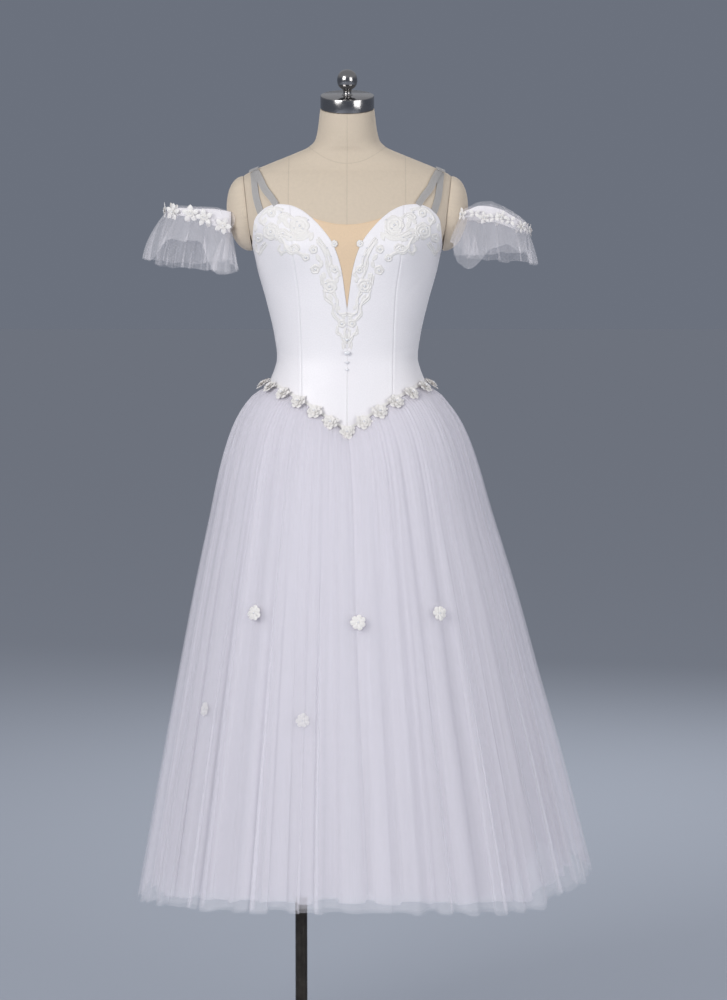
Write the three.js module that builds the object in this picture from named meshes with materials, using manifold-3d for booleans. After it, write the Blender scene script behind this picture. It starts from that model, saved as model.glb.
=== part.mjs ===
// A romantic tutu dress on a dress form: fitted bodice, gathered three-layer tulle skirt and tulle armlets.
// Millimetres, +Z up, the front faces -Y, and the origin is on the floor under the form's middle.
import * as THREE from "three";
import { mergeVertices } from "three/addons/utils/BufferGeometryUtils.js";
import Module from "manifold-3d";

const wasm = await Module();
wasm.setup();

// Driving sizes
const SEAM_GAP = 0.3;
const CLOTH_WALL = 2.2;
const TULLE_WALL = 1;
const BODICE_SEAT = 0.5;
const BODICE_FACE = BODICE_SEAT + CLOTH_WALL;
const MESH_WALL = 1.0;
const LACE_WALL = 1.2;
const BODY_COLUMNS = 28;
const BODY_SQUARENESS = 2.15;
const PLANE_REACH = 400;
const PANEL_REACH = 200;
const UNDERARM_HEIGHT = 1383;
// The heights that the bodice's cloth is cut from, and those of the form inside it
const CLOTH_SPAN = { foot: 1050, top: 1505, coreFoot: 1000, coreTop: 1513 };
// Where rays to the figure's surface start, inside its chest
const RAY_START = { y: 8, z: 1400, reach: 160 };

const BASE_RADIUS = 190;
const BASE_THICKNESS = 8;
const POLE_ACROSS = -77;
const POLE_RADIUS = 10;
const SOCKET_RADIUS = 24;
const SOCKET_HEIGHT = 34;

const SHOULDER_CUT = { across: 167, height: 1443, lean: 6.8 };
const SHOULDER_CAP = { bulge: 28, depth: 43, height: 60 };
const NECK_TOP = 1612;
const NECK_LEAN = 15;
const NECK_LEAN_FROM = 1548;
const COLLAR_PLATE = { radius: 43.5, thickness: 22 };
const KNOB_RADIUS = 16.5;

const SKIRT_SEAT = 1.4;
const LAYER_STEP = 1.6;
const SKIRT_MIDDLE = 29;
const SKIRT_HALF_WIDTH = 380;
const SKIRT_FRONT = 322;
const SKIRT_BACK = 335;

// The figure's sections: half width, depth to the front and to the back, and how far the middle is moved back
const FIGURE = [
  { height: 930, half: 158, front: 98, back: 104, middle: 0 },
  { height: 1000, half: 166, front: 103, back: 117, middle: 0 },
  { height: 1060, half: 163, front: 101, back: 116, middle: 0 },
  { height: 1110, half: 148, front: 96, back: 106, middle: 0 },
  { height: 1160, half: 128, front: 88, back: 94, middle: 0 },
  { height: 1212, half: 112, front: 81, back: 80, middle: 0 },
  { height: 1245, half: 116, front: 84, back: 82, middle: 0 },
  { height: 1300, half: 128.5, front: 93, back: 90, middle: 0 },
  { height: 1350, half: 142.5, front: 101, back: 97, middle: 0 },
  { height: 1388, half: 151.5, front: 105, back: 100, middle: 0 },
  { height: 1425, half: 174, front: 98, back: 101, middle: 0 },
  { height: 1460, half: 181, front: 86, back: 97, middle: 0 },
  { height: 1490, half: 179, front: 71, back: 87, middle: 0 },
  { height: 1505, half: 167, front: 61, back: 78, middle: 0 },
  { height: 1513, half: 152, front: 55, back: 72, middle: 0 },
  { height: 1526, half: 121, front: 50, back: 65, middle: 0 },
  { height: 1540, half: 86, front: 49, back: 61, middle: 0 },
  { height: 1551, half: 62, front: 50, back: 57, middle: -2 },
  { height: 1563, half: 51.5, front: 50, back: 54, middle: -4 },
  { height: NECK_TOP, half: 43.5, front: 43.5, back: 43.5, middle: -10 },
];
const BUST = { out: 13, turn: 35, spread: 19, height: 1388, rise: 38 };

// The basque line, where bodice and skirt meet, by the angle round the figure from the front
const BASQUE = [
  { turn: 0, height: 1093 },
  { turn: 10, height: 1111 },
  { turn: 20, height: 1126.5 },
  { turn: 30, height: 1138.5 },
  { turn: 45, height: 1151 },
  { turn: 60, height: 1160 },
  { turn: 90, height: 1163 },
  { turn: 180, height: 1162 },
];
// The bodice's front top edge, from the foot of the plunge over the cup to the underarm
const CUP_EDGE = [
  { across: 0.15, height: 1290 },
  { across: 4.3, height: 1322 },
  { across: 8, height: 1348 },
  { across: 15, height: 1375 },
  { across: 24, height: 1396 },
  { across: 38, height: 1415 },
  { across: 56, height: 1434 },
  { across: 75, height: 1448 },
  { across: 94, height: 1455 },
  { across: 113, height: 1456.5 },
  { across: 129, height: 1452 },
  { across: 141, height: 1443 },
  { across: 150, height: 1430 },
  { across: 152.5, height: 1412 },
  { across: 154, height: 1398 },
  { across: 158, height: 1388 },
  { across: 175, height: 1383 },
];
const BACK_EDGE = [
  { across: 0.15, height: 1368 },
  { across: 60, height: 1376 },
  { across: 110, height: 1382 },
  { across: 175, height: 1383 },
];
const FRONT_SEAM = [
  { height: 1060, across: 72 },
  { height: 1212, across: 73 },
  { height: 1300, across: 76 },
  { height: 1390, across: 87 },
  { height: 1480, across: 92 },
];
const BACK_SEAM = [
  { height: 1060, across: 62 },
  { height: 1212, across: 50 },
  { height: 1400, across: 66 },
];
const PLUNGE_SCOOP = { middle: 1423, rise: 10.5 };

// The lace on each cup: its middle line and half width, from the underarm down to the point
const LACE_PATH = [
  { across: 146, height: 1414, half: 20 },
  { across: 128, height: 1420, half: 27 },
  { across: 106, height: 1419, half: 32 },
  { across: 82, height: 1410, half: 32 },
  { across: 62, height: 1390, half: 28 },
  { across: 48, height: 1364, half: 25 },
  { across: 34, height: 1330, half: 19 },
  { across: 20, height: 1294, half: 13 },
  { across: 9, height: 1268, half: 8 },
  { across: 4.5, height: 1250, half: 3.4 },
];
const LACE_SCALLOPS = 13;
const LACE_SCALLOP_DEPTH = 0.14;
const LACE_FOOT = 1225;

// How far out the skirt has come, from 0 at the basque to 1 at the hem, by the share of its length
const SKIRT_BELL = [
  { share: 0, out: 0 },
  { share: 0.026, out: 0.135 },
  { share: 0.09, out: 0.28 },
  { share: 0.28, out: 0.465 },
  { share: 0.62, out: 0.728 },
  { share: 1, out: 1 },
];
// The hem's height above the floor, by the angle round the skirt from the front
const HEM = [
  { turn: -180, height: 350 },
  { turn: -135, height: 334 },
  { turn: -90, height: 322 },
  { turn: -45, height: 347 },
  { turn: 0, height: 362 },
  { turn: 28, height: 352 },
  { turn: 46, height: 344 },
  { turn: 58, height: 358 },
  { turn: 90, height: 366 },
  { turn: 135, height: 360 },
  { turn: 180, height: 350 },
];
const SKIRT_LAYERS = [
  { name: "skirt_tulle_outer", folds: 48, inset: 0, depth: 8.5, lift: 0, stack: 2, phase: 0.4, skipRow: -1 },
  { name: "skirt_tulle_middle", folds: 34, inset: 22, depth: 7.5, lift: 9, stack: 1, phase: 2.1, skipRow: 3 },
  { name: "skirt_tulle_under", folds: 26, inset: 44, depth: 7, lift: 12, stack: 0, phase: 4.7, skipRow: 3 },
];

const BRAID_FLOWERS = 23;
const FLOWER = { petals: 5, radius: 11.8, thickness: 1.6, height: 4.6, lean: 0.85, rise: 3, stand: 7 };
const FLOWER_ROOT = { width: 3, rise: 4.4, from: 1.5, to: 6.6 };
const SKIRT_FLOWER = { petals: 5, radius: 12, thickness: 1.3, height: 3.6 };
const TAPE = { wall: 1.6, foot: 1.8, height: 6.6, stations: 36, seat: 0.7 };
const SKIRT_FLOWERS = [
  { name: "skirt_flower_front_left", turn: -34.5, height: 813 },
  { name: "skirt_flower_front_middle", turn: 0.7, height: 803 },
  { name: "skirt_flower_front_right", turn: 27, height: 816 },
  { name: "skirt_flower_low_left", turn: -52, height: 652 },
  { name: "skirt_flower_low_middle", turn: -16.5, height: 650 },
  { name: "skirt_flower_back_left", turn: -148, height: 819 },
  { name: "skirt_flower_back_middle", turn: 178, height: 808 },
  { name: "skirt_flower_back_right", turn: 149, height: 821 },
  { name: "skirt_flower_back_low_left", turn: -123, height: 659 },
  { name: "skirt_flower_back_low_right", turn: 163, height: 658 },
];
const BEAD_SHAPE = { across: 1.15, deep: 0.7, high: 0.85 };
const BEADS = [
  { name: "front_bead_top", height: 1241, radius: 2.6 },
  { name: "front_bead_large", height: 1220, radius: 4.4 },
  { name: "front_bead_third", height: 1204, radius: 2.6 },
  { name: "front_bead_foot", height: 1192, radius: 2.2 },
];

const STRAP = { half: 4.8, wall: 1.0, seat: 0.9 };
const STRAP_TOP = { across: 151, lift: 76 };

// Each armlet hangs on a peg from its shoulder cap. By the angle from its outer side through the back:
// how far out its frill stands at the end of its flare, and how far down the upper frill falls
const ARMLETS = [
  {
    side: "left", sign: -1, across: 234, height: 1453, tilt: 6, underLength: 102,
    hem: [
      { turn: 0, out: 88, fall: 92 },
      { turn: 60, out: 80, fall: 94 },
      { turn: 110, out: 66, fall: 86 },
      { turn: 180, out: 42, fall: 80 },
      { turn: 203, out: 58, fall: 84 },
      { turn: 226, out: 96, fall: 96 },
      { turn: 242, out: 84, fall: 104 },
      { turn: 268, out: 76, fall: 58 },
      { turn: 305, out: 80, fall: 56 },
      { turn: 335, out: 86, fall: 94 },
      { turn: 360, out: 88, fall: 92 },
    ],
  },
  {
    side: "right", sign: 1, across: 234, height: 1456, tilt: 3, underLength: 88,
    hem: [
      { turn: 0, out: 66, fall: 94 },
      { turn: 60, out: 70, fall: 94 },
      { turn: 110, out: 64, fall: 88 },
      { turn: 180, out: 42, fall: 78 },
      { turn: 206, out: 60, fall: 76 },
      { turn: 221, out: 106, fall: 74 },
      { turn: 240, out: 90, fall: 102 },
      { turn: 268, out: 72, fall: 72 },
      { turn: 305, out: 70, fall: 62 },
      { turn: 335, out: 72, fall: 88 },
      { turn: 360, out: 66, fall: 94 },
    ],
  },
];
const ARMLET = {
  bandTop: 31, bandFoot: 33.5, bandLength: 20,
  flareLength: 104, puff: 0.8,
  plateWall: 5, plateDown: 12,
};
const ARMLET_PEG = { radius: 3.6, rise: 5.5, socket: 14 };
const ARMLET_FRILLS = [
  { name: "frill_under", folds: 11, inset: 19, depth: 3.5, stack: 0, phase: 1.3 },
  { name: "frill_top", folds: 14, inset: 0, depth: 4, stack: 1, phase: 3.2 },
];
const FRILL_STACK = 2.4;

const radians = THREE.MathUtils.degToRad;

// The value of one column of a table at a place along another, straight between rows
function read(table, key, at, column) {
  const last = table.length - 1;
  if (at <= table[0][key]) return table[0][column];
  if (at >= table[last][key]) return table[last][column];
  const next = table.findIndex((row) => row[key] >= at);
  const [a, b] = [table[next - 1], table[next]];
  return THREE.MathUtils.mapLinear(at, a[key], b[key], a[column], b[column]);
}

function signedPower(value, power) {
  return Math.sign(value) * Math.abs(value) ** power;
}

// A point of the figure's surface: turn is 0 at the front and grows towards +X
function figurePoint(turn, height) {
  const angle = radians(turn);
  const half = read(FIGURE, "height", height, "half");
  const side = Math.cos(angle) > 0 ? "front" : "back";
  const depth = read(FIGURE, "height", height, side);
  const middle = read(FIGURE, "height", height, "middle");
  const power = 2 / BODY_SQUARENESS;
  const x = half * signedPower(Math.sin(angle), power);
  let y = middle - depth * signedPower(Math.cos(angle), power);
  const wrapped = Math.abs(((turn + 540) % 360) - 180);
  const across = (wrapped - BUST.turn) / BUST.spread;
  const up = (height - BUST.height) / BUST.rise;
  y -= BUST.out * Math.exp(-across * across) * Math.exp(-up * up);
  const lean = THREE.MathUtils.clamp((height - NECK_LEAN_FROM) / (NECK_TOP - NECK_LEAN_FROM), 0, 1);
  const z = height + (y - middle) * Math.tan(radians(NECK_LEAN)) * lean;
  return new THREE.Vector3(x, y, z);
}

// The same point moved out along the surface's normal
function bodyPoint(turn, height, out) {
  const turnStep = 2;
  const heightStep = 4;
  const round = figurePoint(turn + turnStep, height).sub(figurePoint(turn - turnStep, height));
  const up = figurePoint(turn, height + heightStep).sub(figurePoint(turn, height - heightStep));
  const normal = round.cross(up).normalize();
  return figurePoint(turn, height).addScaledVector(normal, out);
}

function basqueHeight(turn) {
  return read(BASQUE, "turn", Math.abs(((turn + 540) % 360) - 180), "height");
}

// A closed solid through rings of equal count, with fans at both ends; peak raises the last fan's middle
function loft(rings, peak = 0) {
  const count = rings[0].length;
  const points = rings.flat();
  const faces = [];
  for (let r = 0; r + 1 < rings.length; r++) {
    for (let c = 0; c < count; c++) {
      const [a, b] = [r * count + c, r * count + ((c + 1) % count)];
      faces.push(a, b, b + count, a, b + count, a + count);
    }
  }
  for (const [ring, flip] of [[0, true], [rings.length - 1, false]]) {
    const middle = new THREE.Vector3();
    rings[ring].forEach((p) => middle.addScaledVector(p, 1 / count));
    if (!flip) middle.z += peak;
    points.push(middle);
    for (let c = 0; c < count; c++) {
      const [a, b] = [ring * count + c, ring * count + ((c + 1) % count)];
      faces.push(...(flip ? [b, a] : [a, b]), points.length - 1);
    }
  }
  return toGeometry(points, faces);
}

// A closed tube wall between outer and inner rings; both faces are split along the same diagonals
function tubeWall(outer, inner) {
  const count = outer[0].length;
  const rows = outer.length;
  const points = [...outer.flat(), ...inner.flat()];
  const shift = rows * count;
  const faces = [];
  const quad = (a, b, c, d) => faces.push(a, b, c, a, c, d);
  for (let c = 0; c < count; c++) {
    const n = (c + 1) % count;
    for (let r = 0; r + 1 < rows; r++) {
      const [a, b] = [r * count + c, r * count + n];
      quad(a, b, b + count, a + count);
      quad(shift + a, shift + a + count, shift + b + count, shift + b);
    }
    const top = (rows - 1) * count;
    quad(shift + c, shift + n, n, c);
    quad(top + c, top + n, shift + top + n, shift + top + c);
  }
  return toGeometry(points, faces);
}

function toGeometry(points, faces) {
  const geometry = new THREE.BufferGeometry();
  const numbers = points.flatMap((p) => [p.x, p.y, p.z]);
  geometry.setAttribute("position", new THREE.Float32BufferAttribute(numbers, 3));
  geometry.setIndex(faces);
  return geometry;
}

function toSolid(geometry) {
  const bare = geometry.clone();
  bare.deleteAttribute("normal");
  bare.deleteAttribute("uv");
  const merged = mergeVertices(bare, 1e-4);
  const vertProperties = merged.attributes.position.array;
  const triVerts = new Uint32Array(merged.index.array);
  return new wasm.Manifold(new wasm.Mesh({ numProp: 3, vertProperties, triVerts }));
}

function fromSolid(solid) {
  const mesh = solid.getMesh();
  const geometry = new THREE.BufferGeometry();
  geometry.setAttribute("position", new THREE.Float32BufferAttribute(mesh.vertProperties, 3));
  geometry.setIndex(Array.from(mesh.triVerts));
  return geometry;
}

// The figure as one closed solid, grown by out, between two heights
function bodySolid(out, lowest = -Infinity, highest = Infinity) {
  const rows = FIGURE.filter((row) => row.height >= lowest && row.height <= highest);
  const rings = rows.map((row) =>
    Array.from({ length: BODY_COLUMNS }, (_, c) => bodyPoint((c * 360) / BODY_COLUMNS, row.height, out)),
  );
  return toSolid(loft(rings));
}

// A layer of cloth on the figure, from one distance off it to another
function bodyLayer(inner, outer) {
  const core = bodySolid(inner, CLOTH_SPAN.coreFoot, CLOTH_SPAN.coreTop);
  return bodySolid(outer, CLOTH_SPAN.foot, CLOTH_SPAN.top).subtract(core);
}

// A solid that stands on an outline in the front view and reaches to the front, or to the back
function outlinePrism(outline, facing) {
  const shape = new THREE.Shape(outline.map(([x, z]) => new THREE.Vector2(x, z)));
  const prism = new THREE.ExtrudeGeometry(shape, { depth: PLANE_REACH, bevelEnabled: false, steps: 1 });
  prism.rotateX(Math.PI / 2);
  prism.translate(0, facing === "front" ? -SEAM_GAP / 2 : PLANE_REACH + SEAM_GAP / 2, 0);
  return toSolid(prism);
}

function mirrored(outline, sign) {
  const moved = outline.map(([x, z]) => [sign * x, z]);
  return sign < 0 ? moved.reverse() : moved;
}

// The basque line in the front view, from one angle to another, where the bodice's foot lies
function basqueOutline(fromTurn, toTurn) {
  const steps = 10;
  return Array.from({ length: steps + 1 }, (_, i) => {
    const turn = fromTurn + ((toTurn - fromTurn) * i) / steps;
    const point = bodyPoint(turn, basqueHeight(turn), BODICE_FACE);
    return [Math.max(Math.abs(point.x), SEAM_GAP / 2), basqueHeight(turn)];
  });
}

// The height of the bodice's foot at one place across, on the front or on the back
const FOOT_LINES = { front: basqueOutline(0, 90), back: basqueOutline(180, 90) };
function footHeight(across, facing) {
  const line = FOOT_LINES[facing].map(([x, z]) => ({ x, z }));
  return read(line, "x", Math.abs(across), "z");
}

// Splits an outline's lower and upper edges at a seam and closes the panel between two seams
function panelOutline(foot, edge, innerSeam, outerSeam) {
  const inside = ([x, z]) => x > innerSeam(z) && x < outerSeam(z);
  const footMiddle = foot.filter(inside);
  const edgeMiddle = edge.filter(inside);
  const heightAt = (line, seam) => {
    for (let i = 0; i + 1 < line.length; i++) {
      const [a, b] = [line[i], line[i + 1]];
      const [da, db] = [a[0] - seam(a[1]), b[0] - seam(b[1])];
      if (da <= 0 && db >= 0 && da !== db) return a[1] + ((b[1] - a[1]) * -da) / (db - da);
    }
    return null;
  };
  const seamPoints = (seam, reverse) => {
    const [low, high] = [heightAt(foot, seam), heightAt(edge, seam)];
    if (low === null || high === null) return [];
    const inner = FRONT_SEAM.concat(BACK_SEAM).map((row) => row.height);
    const between = [...new Set(inner)].filter((z) => z > low + 5 && z < high - 5).sort((a, b) => a - b);
    const points = [low, ...between, high].map((z) => [seam(z), z]);
    return reverse ? points.reverse() : points;
  };
  return [
    ...footMiddle,
    ...seamPoints(outerSeam, false),
    ...edgeMiddle.reverse(),
    ...seamPoints(innerSeam, true),
  ];
}

const MATERIALS = {
  bodice: new THREE.MeshStandardMaterial({ color: 0xf6f6fa, roughness: 0.7 }),
  plunge: new THREE.MeshStandardMaterial({ color: 0xe0c49c, roughness: 0.8 }),
  lace: new THREE.MeshStandardMaterial({ color: 0xf1f0ea, roughness: 0.6 }),
  tulle: new THREE.MeshStandardMaterial({ color: 0xe9e8f2, roughness: 0.9 }),
  strap: new THREE.MeshStandardMaterial({ color: 0xb9bab6, roughness: 0.4 }),
  bead: new THREE.MeshStandardMaterial({ color: 0xdfe0e6, roughness: 0.2 }),
  canvas: new THREE.MeshStandardMaterial({ color: 0xd6c7af, roughness: 0.85 }),
  chrome: new THREE.MeshStandardMaterial({ color: 0x9a9a9a, roughness: 0.2, metalness: 1 }),
  pole: new THREE.MeshStandardMaterial({ color: 0x3c3833, roughness: 0.4, metalness: 0.8 }),
};

const tutu = new THREE.Group();

function add(name, geometry, material) {
  const mesh = new THREE.Mesh(geometry, material.clone());
  mesh.name = name;
  tutu.add(mesh);
  return mesh;
}

// Shoulder plane: the half space outside it, moved out by gap
function shoulderSide(sign, gap) {
  const box = new THREE.BoxGeometry(PLANE_REACH, PLANE_REACH, PLANE_REACH);
  box.translate(PLANE_REACH / 2 + gap, 0, 0);
  box.rotateY(radians(SHOULDER_CUT.lean));
  box.translate(SHOULDER_CUT.across, 0, SHOULDER_CUT.height);
  if (sign < 0) box.rotateZ(Math.PI);
  return toSolid(box);
}

// The dress form and its stand
function addForm() {
  let torso = bodySolid(0);
  for (const sign of [-1, 1]) torso = torso.subtract(shoulderSide(sign, 0));
  add("form_torso", fromSolid(torso), MATERIALS.canvas);

  for (const [side, sign] of [["left", -1], ["right", 1]]) {
    const ball = new THREE.SphereGeometry(1, 16, 10);
    ball.scale(SHOULDER_CAP.bulge, SHOULDER_CAP.depth, SHOULDER_CAP.height);
    ball.rotateY(radians(SHOULDER_CUT.lean));
    ball.translate(SHOULDER_CUT.across, 0, SHOULDER_CUT.height);
    if (sign < 0) ball.rotateZ(Math.PI);
    const bore = ARMLET_PEG.radius + SEAM_GAP;
    const boreLength = 60;
    const socket = new THREE.CylinderGeometry(bore, bore, boreLength, 12);
    socket.rotateZ(Math.PI / 2);
    const boreFoot = SHOULDER_CUT.across + SHOULDER_CAP.bulge - ARMLET_PEG.socket;
    const pegHeight = ARMLETS.find((armlet) => armlet.side === side).height + ARMLET_PEG.rise;
    socket.translate(sign * (boreFoot + boreLength / 2), 0, pegHeight);
    const cap = toSolid(ball).intersect(shoulderSide(sign, SEAM_GAP)).subtract(toSolid(socket));
    add(`form_shoulder_cap_${side}`, fromSolid(cap), MATERIALS.canvas);
  }

  const neck = new THREE.Group();
  neck.position.set(0, -10, NECK_TOP);
  neck.rotation.x = radians(NECK_LEAN);
  tutu.add(neck);
  const { radius, thickness } = COLLAR_PLATE;
  const plateProfile = [
    [0, 0],
    [radius - 1, 0],
    [radius, 1],
    [radius, thickness - 1.5],
    [radius - 1.5, thickness],
    [0, thickness],
  ].map(([r, h]) => new THREE.Vector2(r, h));
  const plateShape = new THREE.LatheGeometry(plateProfile, 24).rotateX(Math.PI / 2);
  const plate = add("form_neck_plate", plateShape, MATERIALS.chrome);
  plate.position.z = SEAM_GAP;
  const knobProfile = [
    [0, 0], [9, 0], [6.6, 3], [6.6, 8], [13, 13], [KNOB_RADIUS, 23], [15, 32], [9, 38.9], [0, 41],
  ].map(([r, h]) => new THREE.Vector2(r, h));
  const knobShape = new THREE.LatheGeometry(knobProfile, 18).rotateX(Math.PI / 2);
  const knob = add("form_neck_knob", knobShape, MATERIALS.chrome);
  knob.position.z = thickness + 2 * SEAM_GAP;
  neck.add(plate, knob);

  const torsoFoot = FIGURE[0].height;
  const base = new THREE.CylinderGeometry(BASE_RADIUS - 1.5, BASE_RADIUS, BASE_THICKNESS, 48);
  base.rotateX(Math.PI / 2);
  add("stand_base", base, MATERIALS.pole).position.z = BASE_THICKNESS / 2;
  const poleLength = torsoFoot - BASE_THICKNESS - 2 * SEAM_GAP;
  const pole = new THREE.CylinderGeometry(POLE_RADIUS, POLE_RADIUS, poleLength, 16);
  pole.rotateX(Math.PI / 2);
  const poleMiddle = BASE_THICKNESS + SEAM_GAP + poleLength / 2;
  add("stand_pole", pole, MATERIALS.pole).position.set(POLE_ACROSS, 0, poleMiddle);
  const bore = POLE_RADIUS + SEAM_GAP;
  const sleeve = bore + 5;
  const collarProfile = [
    [bore, 0],
    [SOCKET_RADIUS, 0],
    [SOCKET_RADIUS, 5],
    [sleeve, 8],
    [sleeve, SOCKET_HEIGHT],
    [bore, SOCKET_HEIGHT],
    [bore, 0],
  ].map(([r, h]) => new THREE.Vector2(r, h));
  const collars = [
    { name: "stand_foot_collar", height: BASE_THICKNESS + SEAM_GAP, flip: 1 },
    { name: "stand_top_socket", height: torsoFoot - SEAM_GAP, flip: -1 },
  ];
  for (const { name, height, flip } of collars) {
    const collar = new THREE.LatheGeometry(collarProfile, 16).rotateX((flip * Math.PI) / 2);
    add(name, collar, MATERIALS.pole).position.set(POLE_ACROSS, 0, height);
  }
}

// Bodice panels, cut from one layer of cloth on the figure
function addBodice() {
  const cloth = bodyLayer(BODICE_SEAT, BODICE_FACE);
  const sideFoot = [PANEL_REACH, basqueHeight(90)];
  const underarm = [PANEL_REACH, UNDERARM_HEIGHT];
  const frontFoot = [...basqueOutline(0, 90), sideFoot];
  const backFoot = [...basqueOutline(180, 90), sideFoot];
  const cup = [...CUP_EDGE.map((row) => [row.across, row.height]), underarm];
  const back = [...BACK_EDGE.map((row) => [row.across, row.height]), underarm];
  const seam = (table, shift) => (z) => read(table, "height", z, "across") + shift;
  const centre = () => SEAM_GAP / 2 - 1e-3;
  const outside = () => PANEL_REACH - 1;
  const half = SEAM_GAP / 2;
  const panels = [
    { name: "bodice_centre_front", facing: "front", inner: centre, outer: seam(FRONT_SEAM, -half) },
    { name: "bodice_side_front", facing: "front", inner: seam(FRONT_SEAM, half), outer: outside },
    { name: "bodice_centre_back", facing: "back", inner: centre, outer: seam(BACK_SEAM, -half) },
    { name: "bodice_side_back", facing: "back", inner: seam(BACK_SEAM, half), outer: outside },
  ];
  for (const panel of panels) {
    const [foot, edge] = panel.facing === "front" ? [frontFoot, cup] : [backFoot, back];
    const outline = panelOutline(foot, edge, panel.inner, panel.outer);
    for (const [side, sign] of [["left", -1], ["right", 1]]) {
      const cut = outlinePrism(mirrored(outline, sign), panel.facing);
      add(`${panel.name}_${side}`, fromSolid(cloth.intersect(cut)), MATERIALS.bodice);
    }
  }

  const plungeSide = CUP_EDGE.filter((row) => row.height <= 1434).filter((row) => row.across < 60);
  const edgeIn = plungeSide.slice(1).map((row) => [row.across - SEAM_GAP, row.height]);
  const scoop = [0.66, 0.33, 0, -0.33, -0.66].map((s) => {
    const reach = edgeIn[edgeIn.length - 1][0];
    return [s * reach, PLUNGE_SCOOP.middle + PLUNGE_SCOOP.rise * s * s];
  });
  const outline = [
    [0, CUP_EDGE[0].height + 2],
    ...edgeIn,
    ...scoop,
    ...edgeIn.map(([x, z]) => [-x, z]).reverse(),
  ];
  const mesh = bodyLayer(BODICE_SEAT, BODICE_SEAT + MESH_WALL);
  add("bodice_plunge_mesh", fromSolid(mesh.intersect(outlinePrism(outline, "front"))), MATERIALS.plunge);
}

// The lace on the cups: a scalloped band that lies on the panels
function addLace() {
  const layer = bodyLayer(BODICE_FACE + SEAM_GAP, BODICE_FACE + SEAM_GAP + LACE_WALL);
  const steps = 26;
  const place = (share) => {
    const at = share * (LACE_PATH.length - 1);
    const row = Math.min(Math.floor(at), LACE_PATH.length - 2);
    const [above, below] = [LACE_PATH[row], LACE_PATH[row + 1]];
    const mix = (column) => THREE.MathUtils.lerp(above[column], below[column], at - row);
    return [mix("across"), mix("height"), mix("half")];
  };
  const [upper, lower] = [[], []];
  for (let i = 0; i <= steps; i++) {
    const share = i / steps;
    const [x, z, half] = place(share);
    const [ax, az] = place(Math.max(share - 0.02, 0));
    const [bx, bz] = place(Math.min(share + 0.02, 1));
    const length = Math.hypot(bx - ax, bz - az);
    const [nx, nz] = [-(bz - az) / length, (bx - ax) / length];
    const scallop = 1 - LACE_SCALLOP_DEPTH * (1 - Math.cos(share * LACE_SCALLOPS * Math.PI));
    const reach = half * scallop;
    lower.push([Math.max(x + nx * reach, 0.4), z + nz * reach]);
    upper.push([Math.max(x - nx * reach, 0.4), z - nz * reach]);
  }
  const band = [...lower, ...upper.reverse()];
  const cup = CUP_EDGE.slice(0, 13).map((row) => [row.across + SEAM_GAP, row.height - 1]);
  const cupArea = [[SEAM_GAP, LACE_FOOT], [PANEL_REACH, LACE_FOOT], ...cup.reverse()];
  for (const [side, sign] of [["left", -1], ["right", 1]]) {
    const area = outlinePrism(mirrored(cupArea, sign), "front");
    const cut = outlinePrism(mirrored(band, sign), "front").intersect(area);
    add(`bodice_lace_${side}`, fromSolid(layer.intersect(cut)), MATERIALS.lace);
  }
}

function addBeads() {
  for (const bead of BEADS) {
    const ball = new THREE.SphereGeometry(bead.radius, 8, 6);
    ball.scale(BEAD_SHAPE.across, BEAD_SHAPE.deep, BEAD_SHAPE.high);
    const seat = bodyPoint(0, bead.height, BODICE_FACE + SEAM_GAP + BEAD_SHAPE.deep * bead.radius);
    add(bead.name, ball, MATERIALS.bead).position.copy(seat);
  }
}

// Fold edges round one gathered layer: where each column stands and how far in or out it is
const FOLDS = { widthSpread: 0.3, strength: 0.78, strengthSpread: 0.22, crestSpread: 0.14 };
function foldColumns(layer) {
  const widths = Array.from(
    { length: layer.folds },
    (_, k) => 1 + FOLDS.widthSpread * Math.sin(k * 2.4 + layer.phase),
  );
  const total = widths.reduce((a, b) => a + b, 0);
  const columns = [];
  let start = 0;
  widths.forEach((width, k) => {
    const span = (360 * width) / total;
    const strength = FOLDS.strength + FOLDS.strengthSpread * Math.sin(k * 1.7 + layer.phase);
    columns.push({ turn: start, wave: -strength });
    const crest = 0.5 + FOLDS.crestSpread * Math.sin(k * 3.1);
    columns.push({ turn: start + span * crest, wave: strength });
    start += span;
  });
  return columns;
}

// A point of a skirt layer: share is 0 at the basque and 1 at the hem
function skirtPoint(layer, turn, wave, share, out) {
  const seat = BODICE_SEAT + SEAM_GAP + TULLE_WALL / 2 + layer.stack * LAYER_STEP + out;
  const facing = Math.cos(radians(turn)) > 0 ? "front" : "back";
  let top = bodyPoint(turn, basqueHeight(turn), seat);
  for (let pass = 0; pass < 3; pass++) {
    top = bodyPoint(turn, footHeight(top.x, facing) - SKIRT_SEAT, seat);
  }
  const signed = ((turn + 540) % 360) - 180;
  const angle = radians(turn);
  const bell = read(SKIRT_BELL, "share", share, "out");
  const depth = Math.cos(angle) > 0 ? SKIRT_FRONT : SKIRT_BACK;
  const inward = layer.inset + layer.depth * (1 - wave);
  const hem = new THREE.Vector3(
    SKIRT_MIDDLE + (SKIRT_HALF_WIDTH - inward + out) * Math.sin(angle),
    -(depth - inward + out) * Math.cos(angle),
    read(HEM, "turn", signed, "height") + layer.lift,
  );
  return new THREE.Vector3(
    THREE.MathUtils.lerp(top.x, hem.x, bell),
    THREE.MathUtils.lerp(top.y, hem.y, bell),
    THREE.MathUtils.lerp(top.z, hem.z, share),
  );
}

function addSkirt() {
  for (const layer of SKIRT_LAYERS) {
    const columns = foldColumns(layer);
    const rows = SKIRT_BELL.filter((row, r) => r !== layer.skipRow).reverse();
    const ring = (share, out) => columns.map((c) => skirtPoint(layer, c.turn, c.wave, share, out));
    const rings = (out) => rows.map((row) => ring(row.share, out));
    add(layer.name, tubeWall(rings(TULLE_WALL / 2), rings(-TULLE_WALL / 2)), MATERIALS.tulle);
  }
}

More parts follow.
